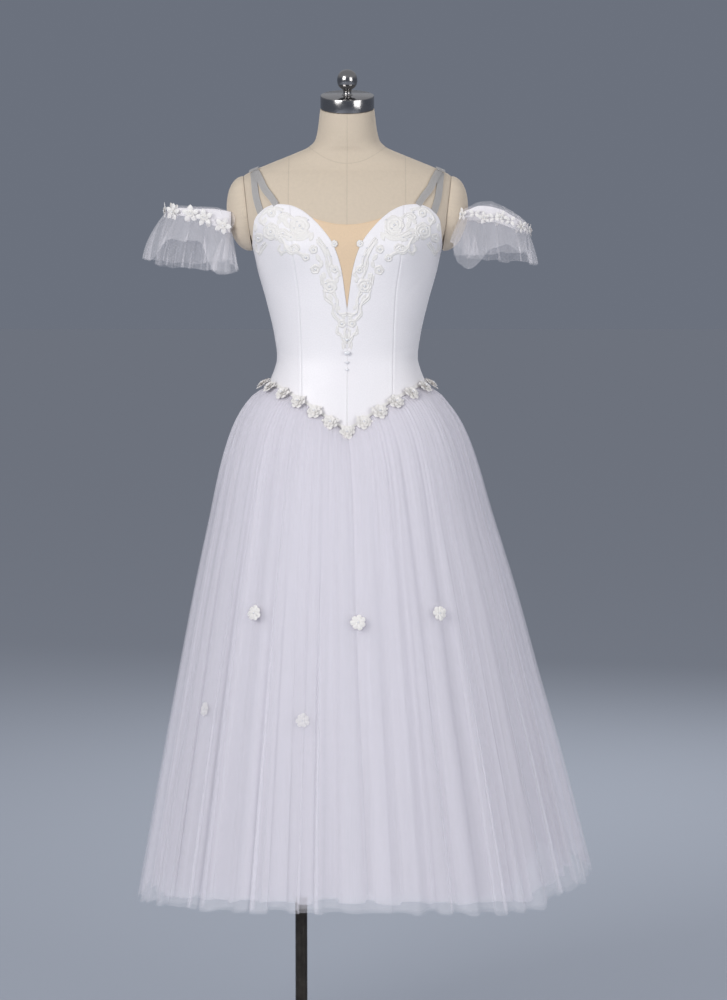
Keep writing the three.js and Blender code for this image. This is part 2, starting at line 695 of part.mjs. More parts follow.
// A sewn flower: petals round a raised middle, lying on its back and facing +Z
function flowerGeometry({ petals, radius, thickness, height }) {
  const count = petals * 2;
  const notch = 0.22;
  const ring = (reach, lobe, z) =>
    Array.from({ length: count }, (_, i) => {
      const angle = (i * Math.PI * 2) / count;
      const r = reach * (i % 2 ? 1 - lobe : 1);
      return new THREE.Vector3(r * Math.cos(angle), r * Math.sin(angle), z);
    });
  return loft([ring(radius, notch, 0), ring(radius, notch, thickness)], height - thickness);
}

// Turns a flower's +Z to face along a normal and sets it at a point
function placed(geometry, point, normal) {
  const turn = new THREE.Quaternion().setFromUnitVectors(new THREE.Vector3(0, 0, 1), normal);
  return geometry.applyQuaternion(turn).translate(point.x, point.y, point.z);
}

// The flower braid that hides the seam between bodice and skirt: a narrow tape with flowers on it
function addBraid() {
  const tapeRing = (lift, out) =>
    Array.from({ length: TAPE.stations }, (_, i) => {
      const turn = (i * 360) / TAPE.stations;
      return bodyPoint(turn, basqueHeight(turn) + lift, BODICE_FACE + TAPE.seat + out);
    });
  const tapeRings = (out) => [tapeRing(TAPE.foot, out), tapeRing(TAPE.height, out)];
  let braid = toSolid(tubeWall(tapeRings(TAPE.wall), tapeRings(0)));
  const line = Array.from({ length: 361 }, (_, i) => bodyPoint(i, basqueHeight(i), BODICE_FACE));
  const lengths = [0];
  for (let i = 1; i < line.length; i++) {
    lengths.push(lengths[i - 1] + line[i].distanceTo(line[i - 1]));
  }
  const total = lengths[lengths.length - 1];
  for (let k = 0; k < BRAID_FLOWERS; k++) {
    const turn = lengths.findIndex((length) => length >= (total * k) / BRAID_FLOWERS);
    const height = basqueHeight(turn) + FLOWER.rise;
    const seat = bodyPoint(turn, height, BODICE_FACE + FLOWER.stand);
    const level = bodyPoint(turn, height, 1).sub(bodyPoint(turn, height, 0));
    const facing = new THREE.Vector3(level.x, level.y, level.z + FLOWER.lean).normalize();
    const flower = placed(flowerGeometry(FLOWER).rotateZ(k * 0.7), seat, facing);
    const { width, rise, from, to } = FLOWER_ROOT;
    const rootSeat = bodyPoint(turn, basqueHeight(turn) + rise, BODICE_FACE + (from + to) / 2);
    const root = placed(new THREE.BoxGeometry(width, width, to - from), rootSeat, level);
    braid = braid.add(toSolid(flower)).add(toSolid(root));
  }
  add("waist_flower_braid", fromSolid(braid), MATERIALS.lace);
}

// How far out a gathered layer's folds stand at one angle, straight between its fold edges
function waveAt(columns, turn) {
  const wrapped = (turn + 360) % 360;
  const next = columns.findIndex((column) => column.turn > wrapped);
  const after = next < 0 ? { ...columns[0], turn: 360 } : columns[next];
  const before = columns[(next < 0 ? columns.length : next) - 1];
  return THREE.MathUtils.mapLinear(wrapped, before.turn, after.turn, before.wave, after.wave);
}

// Single flowers sewn on the outer tulle, each resting on the highest fold under it
function addSkirtFlowers() {
  const layer = SKIRT_LAYERS[0];
  const columns = foldColumns(layer);
  const samples = 24;
  const across = Array.from({ length: samples + 1 }, (_, i) => (2 * i) / samples - 1);
  for (const spot of SKIRT_FLOWERS) {
    const top = basqueHeight(spot.turn);
    const hem = read(HEM, "turn", spot.turn, "height");
    const share = (top - spot.height) / (top - hem);
    const crest = (turn, s) => skirtPoint(layer, turn, 1, s, 0);
    const turnReach = 3;
    const shareReach = 0.04;
    const round = crest(spot.turn + turnReach, share).sub(crest(spot.turn - turnReach, share));
    const up = crest(spot.turn, share - shareReach).sub(crest(spot.turn, share + shareReach));
    const turnStep = (2 * turnReach * SKIRT_FLOWER.radius) / round.length();
    const shareStep = (2 * shareReach * SKIRT_FLOWER.radius) / up.length();
    const normal = round.cross(up).normalize();
    const base = crest(spot.turn, share);
    const spots = across.flatMap((i) => across.map((j) => [i, j])).filter(([i, j]) => i * i + j * j <= 1);
    const lifts = spots.map(([i, j]) => {
      const turn = spot.turn + i * turnStep;
      const cloth = skirtPoint(layer, turn, waveAt(columns, turn), share + j * shareStep, TULLE_WALL / 2);
      return cloth.sub(base).dot(normal);
    });
    const seat = base.addScaledVector(normal, Math.max(...lifts) + 1.5 * SEAM_GAP);
    add(spot.name, placed(flowerGeometry(SKIRT_FLOWER), seat, normal), MATERIALS.lace);
  }
}

// The figure's surface on a ray at one x: lift is 0 to the front, 90 straight up and 180 to the back
function surfaceFrom(x, lift) {
  const from = new THREE.Vector3(x, RAY_START.y, RAY_START.z);
  const ray = new THREE.Vector3(0, -Math.cos(radians(lift)), Math.sin(radians(lift)));
  let [near, far] = [0, RAY_START.reach];
  for (let i = 0; i < 40; i++) {
    const middle = (near + far) / 2;
    const p = from.clone().addScaledVector(ray, middle);
    const half = read(FIGURE, "height", p.z, "half");
    const sine = Math.min(1, (Math.abs(x) / half) ** (BODY_SQUARENESS / 2));
    const turn = THREE.MathUtils.radToDeg(Math.asin(sine));
    const behindFront = p.y > figurePoint(turn, p.z).y;
    const beforeBack = p.y < figurePoint(180 - turn, p.z).y;
    const inside = half > Math.abs(x) && behindFront && beforeBack;
    if (inside) near = middle;
    else far = middle;
  }
  return from.addScaledVector(ray, near);
}

// A ribbon of elastic over the figure between stations of x and lift
function strapGeometry(stations, steps, half, seat, wall) {
  const at = (share) => {
    const place = Math.min(share, 1) * (stations.length - 1);
    const row = Math.min(Math.floor(place), stations.length - 2);
    const mix = (i) => THREE.MathUtils.lerp(stations[row][i], stations[row + 1][i], place - row);
    return [mix(0), mix(1)];
  };
  const rings = Array.from({ length: steps + 1 }, (_, i) => {
    const [x, lift] = at(i / steps);
    const [ax, al] = at(Math.max(0, i / steps - 0.05));
    const [bx, bl] = at(Math.min(1, i / steps + 0.05));
    const radius = surfaceFrom(x, lift).distanceTo(new THREE.Vector3(x, RAY_START.y, RAY_START.z));
    const [dx, dq] = [bx - ax, radians(bl - al) * radius];
    const length = Math.hypot(dx, dq);
    const across = [-half, half].map((w) => {
      const [px, pl] = [x - (w * dq) / length, lift + THREE.MathUtils.radToDeg((w * dx) / length / radius)];
      const side = surfaceFrom(px + 1.5, pl).sub(surfaceFrom(px - 1.5, pl));
      const up = surfaceFrom(px, pl + 1.5).sub(surfaceFrom(px, pl - 1.5));
      return [surfaceFrom(px, pl), side.cross(up).normalize()];
    });
    const inner = across.map(([p, n]) => p.clone().addScaledVector(n, seat));
    const outer = across.map(([p, n]) => p.clone().addScaledVector(n, seat + wall));
    return [...inner, ...outer.reverse()];
  });
  return loft(rings);
}

function addStraps() {
  const cupCut = [
    ...CUP_EDGE.slice(5, 14).map((row) => [row.across, row.height + SEAM_GAP]),
    [152.5, 1390],
    [38, 1390],
  ];
  const backCut = [...BACK_EDGE.map((row) => [row.across, row.height + SEAM_GAP]), [175, 1330], [0, 1330]];
  for (const [side, sign] of [["left", -1], ["right", 1]]) {
    const straps = [
      {
        name: "strap_front_outer", steps: 11, seat: STRAP.seat, cut: cupCut, facing: "front",
        stations: [[137, 32], [145, 48], [STRAP_TOP.across + 0.5, STRAP_TOP.lift]],
      },
      {
        name: "strap_front_inner", steps: 9, seat: STRAP.seat + STRAP.wall + 2 * SEAM_GAP, cut: cupCut,
        facing: "front", stations: [[111, 36], [130, 53], [STRAP_TOP.across - 4, STRAP_TOP.lift - 2]],
      },
      {
        name: "strap_back", steps: 18, seat: STRAP.seat, cut: backCut, facing: "back",
        stations: [[STRAP_TOP.across, STRAP_TOP.lift + 1.5], [149, 100], [140, 125], [118, 160], [104, 190]],
      },
    ];
    for (const strap of straps) {
      const ribbon = strapGeometry(strap.stations, strap.steps, STRAP.half, strap.seat, STRAP.wall);
      let solid = toSolid(ribbon).subtract(outlinePrism(strap.cut, strap.facing));
      if (sign < 0) solid = solid.mirror([1, 0, 0]);
      add(`${strap.name}_${side}`, fromSolid(solid), MATERIALS.strap);
    }
  }
}

// One armlet: a band on the form's peg, two gathered frills below it and a lace trim round their seam
function addArmlet(spec) {
  const { sign, side } = spec;
  const tilt = radians(spec.tilt);
  const middle = new THREE.Vector3(sign * spec.across, 0, spec.height);
  const down = new THREE.Vector3(sign * Math.sin(tilt), 0, -Math.cos(tilt));
  const outward = new THREE.Vector3(sign * Math.cos(tilt), 0, Math.sin(tilt));
  const back = new THREE.Vector3(0, 1, 0);
  const onRing = (turn, along, radius) => {
    const angle = radians(turn);
    const p = middle.clone().addScaledVector(down, along);
    p.addScaledVector(outward, radius * Math.cos(angle));
    return p.addScaledVector(back, radius * Math.sin(angle));
  };
  const ordered = (rings) => (sign > 0 ? rings : rings.map((ring) => [...ring].reverse()));
  const wall = (rings, thickness) => tubeWall(ordered(rings(thickness)), ordered(rings(0)));
  const bandRadius = (along) =>
    THREE.MathUtils.lerp(ARMLET.bandTop, ARMLET.bandFoot, along / ARMLET.bandLength);

  const bandCount = 24;
  const bandTurns = Array.from({ length: bandCount }, (_, c) => (c * 360) / bandCount);
  const bandRing = (along, out) => bandTurns.map((turn) => onRing(turn, along, bandRadius(along) + out));
  const bandRings = (out) => [bandRing(ARMLET.bandLength, out), bandRing(0, out)];
  add(`armlet_band_${side}`, wall(bandRings, CLOTH_WALL), MATERIALS.bodice);

  const frillTop = ARMLET.bandLength + SEAM_GAP;
  for (const frill of ARMLET_FRILLS) {
    const columns = foldColumns(frill);
    const place = (column, share, out) => {
      const fall = read(spec.hem, "turn", column.turn, "fall");
      const length = frill.name === "frill_top" ? fall : spec.underLength;
      const along = THREE.MathUtils.lerp(frillTop, length, share);
      const flare = THREE.MathUtils.clamp((along - frillTop) / (ARMLET.flareLength - frillTop), 0, 1);
      const open = Math.sin((flare * Math.PI) / 2) ** ARMLET.puff;
      const seat = ARMLET.bandFoot + SEAM_GAP + frill.stack * FRILL_STACK;
      const hem = read(spec.hem, "turn", column.turn, "out") - frill.inset + frill.depth * column.wave;
      return onRing(column.turn, along, THREE.MathUtils.lerp(seat, hem, open) + out);
    };
    const rings = (out) => [1, 0.42, 0].map((share) => columns.map((column) => place(column, share, out)));
    add(`armlet_${frill.name}_${side}`, wall(rings, TULLE_WALL), MATERIALS.tulle);
  }

  const trimCount = 28;
  const scallop = 2.5;
  const trimHeight = 11;
  const trimRings = (out) =>
    [1, 0].map((low) =>
      Array.from({ length: trimCount }, (_, c) => {
        const notch = c % 2 ? scallop : 0;
        const foot = ARMLET.bandLength - SEAM_GAP;
        const along = low ? foot - notch : foot - trimHeight + notch;
        return onRing((c * 360) / trimCount, along, bandRadius(along) + CLOTH_WALL + 2 * SEAM_GAP + out);
      }),
    );
  add(`armlet_lace_${side}`, wall(trimRings, LACE_WALL), MATERIALS.lace);

  const plateRadius = bandRadius(ARMLET.plateDown) * Math.cos(Math.PI / bandCount) - SEAM_GAP;
  const plate = new THREE.CylinderGeometry(plateRadius, plateRadius, ARMLET.plateWall, bandCount);
  plate.applyQuaternion(new THREE.Quaternion().setFromUnitVectors(new THREE.Vector3(0, -1, 0), down));
  const plateMiddle = middle.clone().addScaledVector(down, ARMLET.plateDown);
  plate.translate(plateMiddle.x, 0, plateMiddle.z);
  const pegHeight = spec.height + ARMLET_PEG.rise;
  const inner = SHOULDER_CUT.across + SHOULDER_CAP.bulge - ARMLET_PEG.socket + 2 * SEAM_GAP;
  const start = new THREE.Vector3(sign * inner, 0, pegHeight);
  const bend = new THREE.Vector3(plateMiddle.x + sign * ARMLET_PEG.radius, 0, pegHeight);
  const stem = new THREE.Vector3(plateMiddle.x, 0, pegHeight);
  const peg = toSolid(plate).add(rodSolid(start, bend)).add(rodSolid(stem, plateMiddle));
  add(`form_arm_peg_${side}`, fromSolid(peg), MATERIALS.chrome);
}

// A round rod between two points
function rodSolid(from, to) {
  const axis = to.clone().sub(from);
  const bar = new THREE.CylinderGeometry(ARMLET_PEG.radius, ARMLET_PEG.radius, axis.length(), 12);
  const turn = new THREE.Quaternion().setFromUnitVectors(new THREE.Vector3(0, 1, 0), axis.normalize());
  bar.applyQuaternion(turn);
  const centre = from.clone().lerp(to, 0.5);
  return toSolid(bar.translate(centre.x, centre.y, centre.z));
}

addForm();
addBodice();
addLace();
addBeads();
addSkirt();
addBraid();
addSkirtFlowers();
addStraps();
ARMLETS.forEach(addArmlet);

export default tutu;
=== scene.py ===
import bmesh
import bpy
import numpy as np
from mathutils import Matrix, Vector


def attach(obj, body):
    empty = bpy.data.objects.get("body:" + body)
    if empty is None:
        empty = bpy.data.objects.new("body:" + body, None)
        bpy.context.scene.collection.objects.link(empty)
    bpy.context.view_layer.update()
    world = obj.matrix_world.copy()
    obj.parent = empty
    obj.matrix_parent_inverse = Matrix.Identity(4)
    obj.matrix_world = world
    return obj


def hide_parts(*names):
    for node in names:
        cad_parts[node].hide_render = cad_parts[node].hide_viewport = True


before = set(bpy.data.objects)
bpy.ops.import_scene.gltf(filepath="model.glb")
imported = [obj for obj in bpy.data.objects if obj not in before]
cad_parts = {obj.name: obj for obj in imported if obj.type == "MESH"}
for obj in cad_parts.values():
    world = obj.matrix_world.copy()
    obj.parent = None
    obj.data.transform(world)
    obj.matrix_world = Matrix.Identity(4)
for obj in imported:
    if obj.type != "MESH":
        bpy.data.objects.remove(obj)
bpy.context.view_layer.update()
MM = 0.001


# The stand: a round plate on the floor, a pole to the left of the form's middle, a collar at the pole's foot and a
# socket under the form. Turned steel under dark bronze paint, rubbed lighter in places.
def quads(rows, columns):
    """The four corners of every cell of a grid whose points are numbered row by row."""
    number = np.arange(rows * columns).reshape(rows, columns)
    return np.stack([number[:-1, :-1], number[:-1, 1:], number[1:, 1:], number[1:, :-1]], -1).reshape(-1, 4)


def new_piece(name, grids, material, slot, nodes=(), maps=None, kept=None, closed=False, sharp=40):
    """One object from grids of points (rows, columns, 3) in metres. A cell faces out where rows rise and columns turn
    left. Points that lie together are merged, so wraps and poles close. maps are the same grids laid flat."""
    starts = np.cumsum([0] + [grid.shape[0] * grid.shape[1] for grid in grids])
    points = np.concatenate([grid.reshape(-1, 3) for grid in grids])
    faces = np.concatenate([quads(*grid.shape[:2]) + start for grid, start in zip(grids, starts)])
    if kept is not None:
        faces = faces[kept]
    mesh = bpy.data.meshes.new(name)
    mesh.vertices.add(len(points))
    mesh.vertices.foreach_set("co", points.astype(np.float32).ravel())
    mesh.loops.add(faces.size)
    mesh.loops.foreach_set("vertex_index", faces.astype(np.int32).ravel())
    mesh.polygons.add(len(faces))
    mesh.polygons.foreach_set("loop_start", np.arange(0, faces.size, 4, dtype=np.int32))
    mesh.update(calc_edges=True)
    if maps is not None:
        flat = np.concatenate([grid.reshape(-1, 2) for grid in maps])
        layer = mesh.uv_layers.new(name="cloth")
        layer.data.foreach_set("uv", flat[faces.ravel()].astype(np.float32).ravel())
    work = bmesh.new()
    work.from_mesh(mesh)
    bmesh.ops.remove_doubles(work, verts=work.verts, dist=1e-6)
    loose = [v for v in work.verts if not v.link_faces]
    bmesh.ops.delete(work, geom=loose, context="VERTS")
    if closed:
        bmesh.ops.recalc_face_normals(work, faces=work.faces)
    work.to_mesh(mesh)
    work.free()
    mesh.shade_smooth()
    mesh.set_sharp_from_angle(angle=np.radians(sharp))
    mesh.materials.append(material)
    piece = bpy.data.objects.new(name, mesh)
    bpy.context.scene.collection.objects.link(piece)
    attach(piece, "root")
    if nodes:
        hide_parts(*nodes)
    return piece


def new_material(name, colour, roughness, **plain):
    """A material with one Principled shader. plain holds the shader's own constants, by socket name."""
    made = bpy.data.materials.new(name)
    made.use_nodes = True
    shader = made.node_tree.nodes["Principled BSDF"]
    shader.inputs["Base Color"].default_value = (*colour, 1)
    shader.inputs["Roughness"].default_value = roughness
    for socket, value in plain.items():
        shader.inputs[socket.replace("_", " ")].default_value = value
    return made, made.node_tree, shader


def node(tree, kind, inputs=(), **settings):
    """Adds a shader node. inputs gives sockets, by name or number, a value or another node's output."""
    made = tree.nodes.new(kind)
    for name, value in settings.items():
        setattr(made, name, value)
    for socket, value in dict(inputs).items():
        if isinstance(value, bpy.types.NodeSocket):
            tree.links.new(value, made.inputs[socket])
        else:
            made.inputs[socket].default_value = value
    return made


def new_group(name, inputs, outputs):
    """An empty shader group with its inputs and outputs, each a name with Float, Vector or Color."""
    group = bpy.data.node_groups.new(name, "ShaderNodeTree")
    for label, kind in inputs:
        group.interface.new_socket(label, in_out="INPUT", socket_type="NodeSocket" + kind)
    for label, kind in outputs:
        group.interface.new_socket(label, in_out="OUTPUT", socket_type="NodeSocket" + kind)
    return group, group.nodes.new("NodeGroupInput"), group.nodes.new("NodeGroupOutput")


def use_group(tree, group, **inputs):
    """Places a group in a material with its own values."""
    return node(tree, "ShaderNodeGroup", inputs, node_tree=group)


def math(tree, operation, *values):
    """A Math node's result. values are numbers or other nodes' outputs."""
    return node(tree, "ShaderNodeMath", enumerate(values), operation=operation).outputs[0]


def ranged(tree, value, start, end, low, high):
    """A value carried from one range to another and held at its ends."""
    sockets = {"Value": value, "From Min": start, "From Max": end, "To Min": low, "To Max": high}
    return node(tree, "ShaderNodeMapRange", sockets).outputs["Result"]


def blotches_group():
    """Soft cloudy variation: noise at one scale, spread between two values."""
    group, entry, leave = new_group(
        "blotches",
        [("Place", "Vector"), ("Scale", "Float"), ("Low", "Float"), ("High", "Float")],
        [("Value", "Float")],
    )
    place, scale, low, high = (entry.outputs[label] for label in ("Place", "Scale", "Low", "High"))
    noise = node(group, "ShaderNodeTexNoise", {"Vector": place, "Scale": scale, "Detail": 3.0})
    group.links.new(ranged(group, noise.outputs["Fac"], 0.3, 0.7, low, high), leave.inputs["Value"])
    return group


BLOTCHES = blotches_group()


def tinted(tree, shader, colour, shade):
    """Multiplies a plain colour by a value and puts it on the shader's base colour."""
    scaled = node(tree, "ShaderNodeMix", {"Factor": 1.0, 6: (*colour, 1)}, data_type="RGBA", blend_type="MULTIPLY")
    tree.links.new(shade, scaled.inputs[7])
    tree.links.new(scaled.outputs[2], shader.inputs["Base Color"])


def bumped(tree, shader, height, strength, distance):
    """Feeds a height to the shader's normal through a Bump node. distance is in metres."""
    bump = node(tree, "ShaderNodeBump", {"Height": height, "Strength": strength, "Distance": distance})
    tree.links.new(bump.outputs["Normal"], shader.inputs["Normal"])


def bronze_paint():
    colour = (0.060, 0.052, 0.044)
    made, tree, shader = new_material("dark_bronze_paint", colour, 0.36, Metallic=0.85)
    place = node(tree, "ShaderNodeTexCoord").outputs["Object"]
    shade = use_group(tree, BLOTCHES, Place=place, Scale=60.0, Low=0.75, High=1.35)
    tinted(tree, shader, colour, shade.outputs["Value"])
    rubbed = use_group(tree, BLOTCHES, Place=place, Scale=140.0, Low=0.26, High=0.46)
    tree.links.new(rubbed.outputs["Value"], shader.inputs["Roughness"])
    bumped(tree, shader, rubbed.outputs["Value"], 0.15, 0.0004)
    return made


def turned(profile, across=0.0, around=96):
    """Carries a profile of rows (radius, height) in mm round a vertical axis, as on a lathe."""
    radius, height = np.array(profile, float).T[:, :, None] * MM
    angle = np.linspace(0, 2 * np.pi, around + 1)
    x, y = radius * np.cos(angle) + across * MM, radius * np.sin(angle)
    return np.stack([x, y, height + 0 * angle], -1)


POLE_ACROSS = -77
FORM_FOOT = 930
BRONZE = bronze_paint()
base_rim = [[0, 0], [188, 0], [190, 1.2], [190, 5.2], [188.6, 7.2], [186, 8], [0, 8]]
new_piece("stand_plate", [turned(base_rim, around=160)], BRONZE, "stand_metal", ["stand_base"], closed=True)
pole_line = [[0, 8.3], [10, 8.3], [10, FORM_FOOT - 0.3], [0, FORM_FOOT - 0.3]]
new_piece("stand_tube", [turned(pole_line, POLE_ACROSS, 48)], BRONZE, "stand_metal", ["stand_pole"], closed=True)
collar_rows = [[10.3, 0], [23, 0], [24, 1], [24, 4], [22.5, 5.5], [16, 8], [15.3, 9.5]]
collar_rows += [[15.3, 32.5], [14, 34], [10.3, 34]]
for name, foot, way, cad_name in [
    ("stand_lower_collar", 8.3, 1, "stand_foot_collar"),
    ("stand_upper_socket", FORM_FOOT - 0.3, -1, "stand_top_socket"),
]:
    rows = [[radius, foot + way * height] for radius, height in collar_rows + collar_rows[:1]]
    new_piece(name, [turned(rows, POLE_ACROSS, 64)], BRONZE, "stand_metal", [cad_name], closed=True)


# The dress form: a padded torso without limbs, covered in beige canvas that is seamed down the centre front, down
# each chest and round the neck, with a domed canvas cap in each armhole. A steel plate and knob close the neck.
# Columns of FIGURE: height, half width, depth to the front, depth to the back, middle moved back, in mm.
FIGURE = MM * np.array(
    [
        [930, 158, 98, 104, 0], [1000, 166, 103, 117, 0], [1060, 163, 101, 116, 0], [1110, 148, 96, 106, 0],
        [1160, 128, 88, 94, 0], [1212, 112, 81, 80, 0], [1245, 116, 84, 82, 0], [1300, 128.5, 93, 90, 0],
        [1350, 142.5, 101, 97, 0], [1388, 151.5, 105, 100, 0], [1425, 174, 98, 101, 0], [1460, 181, 86, 97, 0],
        [1490, 179, 71, 87, 0], [1505, 167, 61, 78, 0], [1513, 152, 55, 72, 0], [1526, 121, 50, 65, 0],
        [1540, 86, 49, 61, 0], [1551, 62, 50, 57, -2], [1563, 51.5, 50, 54, -4], [1612, 43.5, 43.5, 43.5, -10],
    ]
)
SQUARENESS = 2.15
NECK_FROM, NECK_TOP, NECK_BACK, NECK_LEAN = 1.548, 1.612, 0.010, np.radians(15)


def read(at, places, values):
    """Reads a table between its rows by a cubic whose slope at each row is the harmonic mean of its neighbours'
    slopes, so that the curve is smooth and never swings past a row."""
    places, values = np.asarray(places, float), np.asarray(values, float)
    at = np.clip(at, places[0], places[-1])
    step = np.diff(places)
    rise = np.diff(values) / step
    same = rise[:-1] * rise[1:] > 0
    safe = [np.where(same, part, 1.0) for part in (rise[:-1], rise[1:])]
    before, after = 2 * step[1:] + step[:-1], step[1:] + 2 * step[:-1]
    inner = np.where(same, (before + after) / (before / safe[0] + after / safe[1]), 0.0)
    slope = np.concatenate([rise[:1], inner, rise[-1:]])
    row = np.clip(np.searchsorted(places, at, side="right") - 1, 0, len(places) - 2)
    t = (at - places[row]) / step[row]
    start = (1 + 2 * t) * (1 - t) ** 2 * values[row] + t * (1 - t) ** 2 * step[row] * slope[row]
    return start + t * t * (3 - 2 * t) * values[row + 1] + t * t * (t - 1) * step[row] * slope[row + 1]


def figure(turn, height):
    """A point of the form: half width times a squared-off sine of the turn, depth times its cosine, and a soft bump
    on each side of the front for the bust. turn is in degrees, 0 at the front, growing towards +X."""
    turn, height = np.broadcast_arrays(turn, height)
    half, front, back, middle = (read(height, FIGURE[:, 0], FIGURE[:, column]) for column in range(1, 5))
    sine, cosine = np.sin(np.radians(turn)), np.cos(np.radians(turn))
    x = half * np.sign(sine) * np.abs(sine) ** (2 / SQUARENESS)
    depth = np.where(cosine > 0, front, back)
    y = middle - depth * np.sign(cosine) * np.abs(cosine) ** (2 / SQUARENESS)
    wrapped = np.abs((turn + 540) % 360 - 180)
    across, up = (wrapped - 35) / 19, (height - 1.388) / 0.038
    y = y - 0.013 * np.exp(-across * across) * np.exp(-up * up)
    lean = np.clip((height - NECK_FROM) / (NECK_TOP - NECK_FROM), 0, 1)
    return np.stack([x, y, height + (y - middle) * np.tan(NECK_LEAN) * lean], -1)


def body(turn, height, out):
    """The same point moved out along the form's surface normal by out, in metres."""
    turn, height, out = np.broadcast_arrays(turn, height, out)
    round_it = figure(turn + 2, height) - figure(turn - 2, height)
    up = figure(turn, height + 0.004) - figure(turn, height - 0.004)
    normal = np.cross(round_it, up)
    normal /= np.linalg.norm(normal, axis=-1, keepdims=True)
    return figure(turn, height) + out[..., None] * normal


def weave_group():
    """A plain weave on a piece's own flat map: threads cross as the sum of two sines, with thick and thin threads."""
    group, entry, leave = new_group(
        "plain_weave", [("Place", "Vector"), ("Threads", "Float")], [("Height", "Float"), ("Shade", "Float")]
    )
    sockets = {0: entry.outputs["Place"], "Scale": entry.outputs["Threads"]}
    scaled = node(group, "ShaderNodeVectorMath", sockets, operation="SCALE").outputs[0]
    slubs = node(group, "ShaderNodeTexNoise", {"Vector": scaled, "Scale": 0.22, "Detail": 4.0})
    parts = node(group, "ShaderNodeSeparateXYZ", {0: scaled})
    waves = [math(group, "SINE", math(group, "MULTIPLY", parts.outputs[axis], 2 * np.pi)) for axis in (0, 1)]
    height = math(group, "MULTIPLY_ADD", math(group, "ADD", *waves), 0.25, slubs.outputs["Fac"])
    group.links.new(height, leave.inputs["Height"])
    group.links.new(ranged(group, height, 0.0, 1.1, 0.9, 1.04), leave.inputs["Shade"])
    return group


WEAVE = weave_group()


def flat_map(tree):
    return node(tree, "ShaderNodeUVMap", uv_map="cloth").outputs["UV"]


def woven_cloth(name, colour, roughness, threads, strength, deep, **plain):
    """A cloth of plain weave on a piece's flat map. The threads shade its colour and raise it by deep, in metres."""
    made, tree, shader = new_material(name, colour, roughness, **plain)
    woven = use_group(tree, WEAVE, Place=flat_map(tree), Threads=threads)
    tinted(tree, shader, colour, woven.outputs["Shade"])
    bumped(tree, shader, woven.outputs["Height"], strength, deep)
    return made, tree, shader


# How far across the chests' seams run, the height of the neck's seam, and half the width of a seam's groove and of
# its soft edge, in metres
CHEST_LINE, NECK_LINE, GROOVE = 0.094, 1.5484, (0.0003, 0.0011)


def canvas():
    """Beige canvas with sewn lines where the covering's pieces meet, each a dark groove a thread or two wide."""
    colour = (0.665, 0.562, 0.440)
    made, tree, shader = new_material("beige_canvas", colour, 0.86, Sheen_Weight=0.15, Sheen_Roughness=0.6)
    woven = use_group(tree, WEAVE, Place=flat_map(tree), Threads=900.0)
    place = node(tree, "ShaderNodeTexCoord").outputs["Object"]
    x, y, z = node(tree, "ShaderNodeSeparateXYZ", {0: place}).outputs
    side = math(tree, "ABSOLUTE", x)
    chest = math(tree, "SUBTRACT", side, CHEST_LINE)
    dip = math(tree, "MULTIPLY_ADD", math(tree, "MULTIPLY", x, x), -7.2, 0.026)
    neck = math(tree, "SUBTRACT", z, math(tree, "MULTIPLY_ADD", dip, math(tree, "SIGN", y), NECK_LINE))
    masks = [ranged(tree, math(tree, "ABSOLUTE", way), *GROOVE, 0.7, 0.0) for way in (side, chest, neck)]
    line = math(tree, "MAXIMUM", math(tree, "MAXIMUM", masks[0], masks[1]), masks[2])
    tinted(tree, shader, colour, math(tree, "MULTIPLY_ADD", line, -0.16, woven.outputs["Shade"]))
    height = math(tree, "MULTIPLY_ADD", line, -2.5, woven.outputs["Height"])
    bumped(tree, shader, height, 0.35, 0.0004)
    return made


def steel():
    colour = (0.36, 0.35, 0.345)
    made, tree, shader = new_material("polished_steel", colour, 0.16, Metallic=1.0)
    place = node(tree, "ShaderNodeTexCoord").outputs["Object"]
    smears = use_group(tree, BLOTCHES, Place=place, Scale=90.0, Low=0.10, High=0.22)
    tree.links.new(smears.outputs["Value"], shader.inputs["Roughness"])
    shade = use_group(tree, BLOTCHES, Place=place, Scale=25.0, Low=0.9, High=1.05)
    tinted(tree, shader, colour, shade.outputs["Value"])
    return made


SHOULDER_ACROSS, SHOULDER_HEIGHT, SHOULDER_LEAN = 0.161, 1.443, np.radians(6.8)
CANVAS = canvas()
turns = np.linspace(0, 360, 241)
heights = np.concatenate([np.linspace(0.930, 1.470, 72), np.linspace(1.475, 1.575, 48), np.linspace(1.58, 1.612, 8)])
torso = body(turns, heights[:, None], 0.0)
beyond = (np.abs(torso[..., 0]) - SHOULDER_ACROSS) * np.cos(SHOULDER_LEAN)
beyond = np.clip(beyond - (torso[..., 2] - SHOULDER_HEIGHT) * np.sin(SHOULDER_LEAN), 0, None)
torso[..., 0] -= np.sign(torso[..., 0]) * beyond * np.cos(SHOULDER_LEAN)
torso[..., 2] += beyond * np.sin(SHOULDER_LEAN)
foot = torso[:1] * [0, 0, 1]
top = torso[-1:].mean(axis=1, keepdims=True) + 0 * torso[-1:]
torso = np.concatenate([foot, torso, top])
flat = np.stack(np.broadcast_arrays(turns * 0.0028, np.concatenate([[0.9], heights, [1.66]])[:, None]), -1)
new_piece("form_cover", [torso], CANVAS, "form_canvas", ["form_torso"], maps=[flat], closed=True, sharp=60)

rise = np.radians(np.concatenate([[0], np.linspace(0, 90, 32)]))[:, None]
way = np.radians(np.linspace(0, 360, 97))
spread = np.cos(rise)
spread[0], spread[1] = 0.0, 0.992
plane = np.array([np.cos(SHOULDER_LEAN), 0, -np.sin(SHOULDER_LEAN)])
upright = np.array([np.sin(SHOULDER_LEAN), 0, np.cos(SHOULDER_LEAN)])
shoulder = np.array([SHOULDER_ACROSS, 0, SHOULDER_HEIGHT])


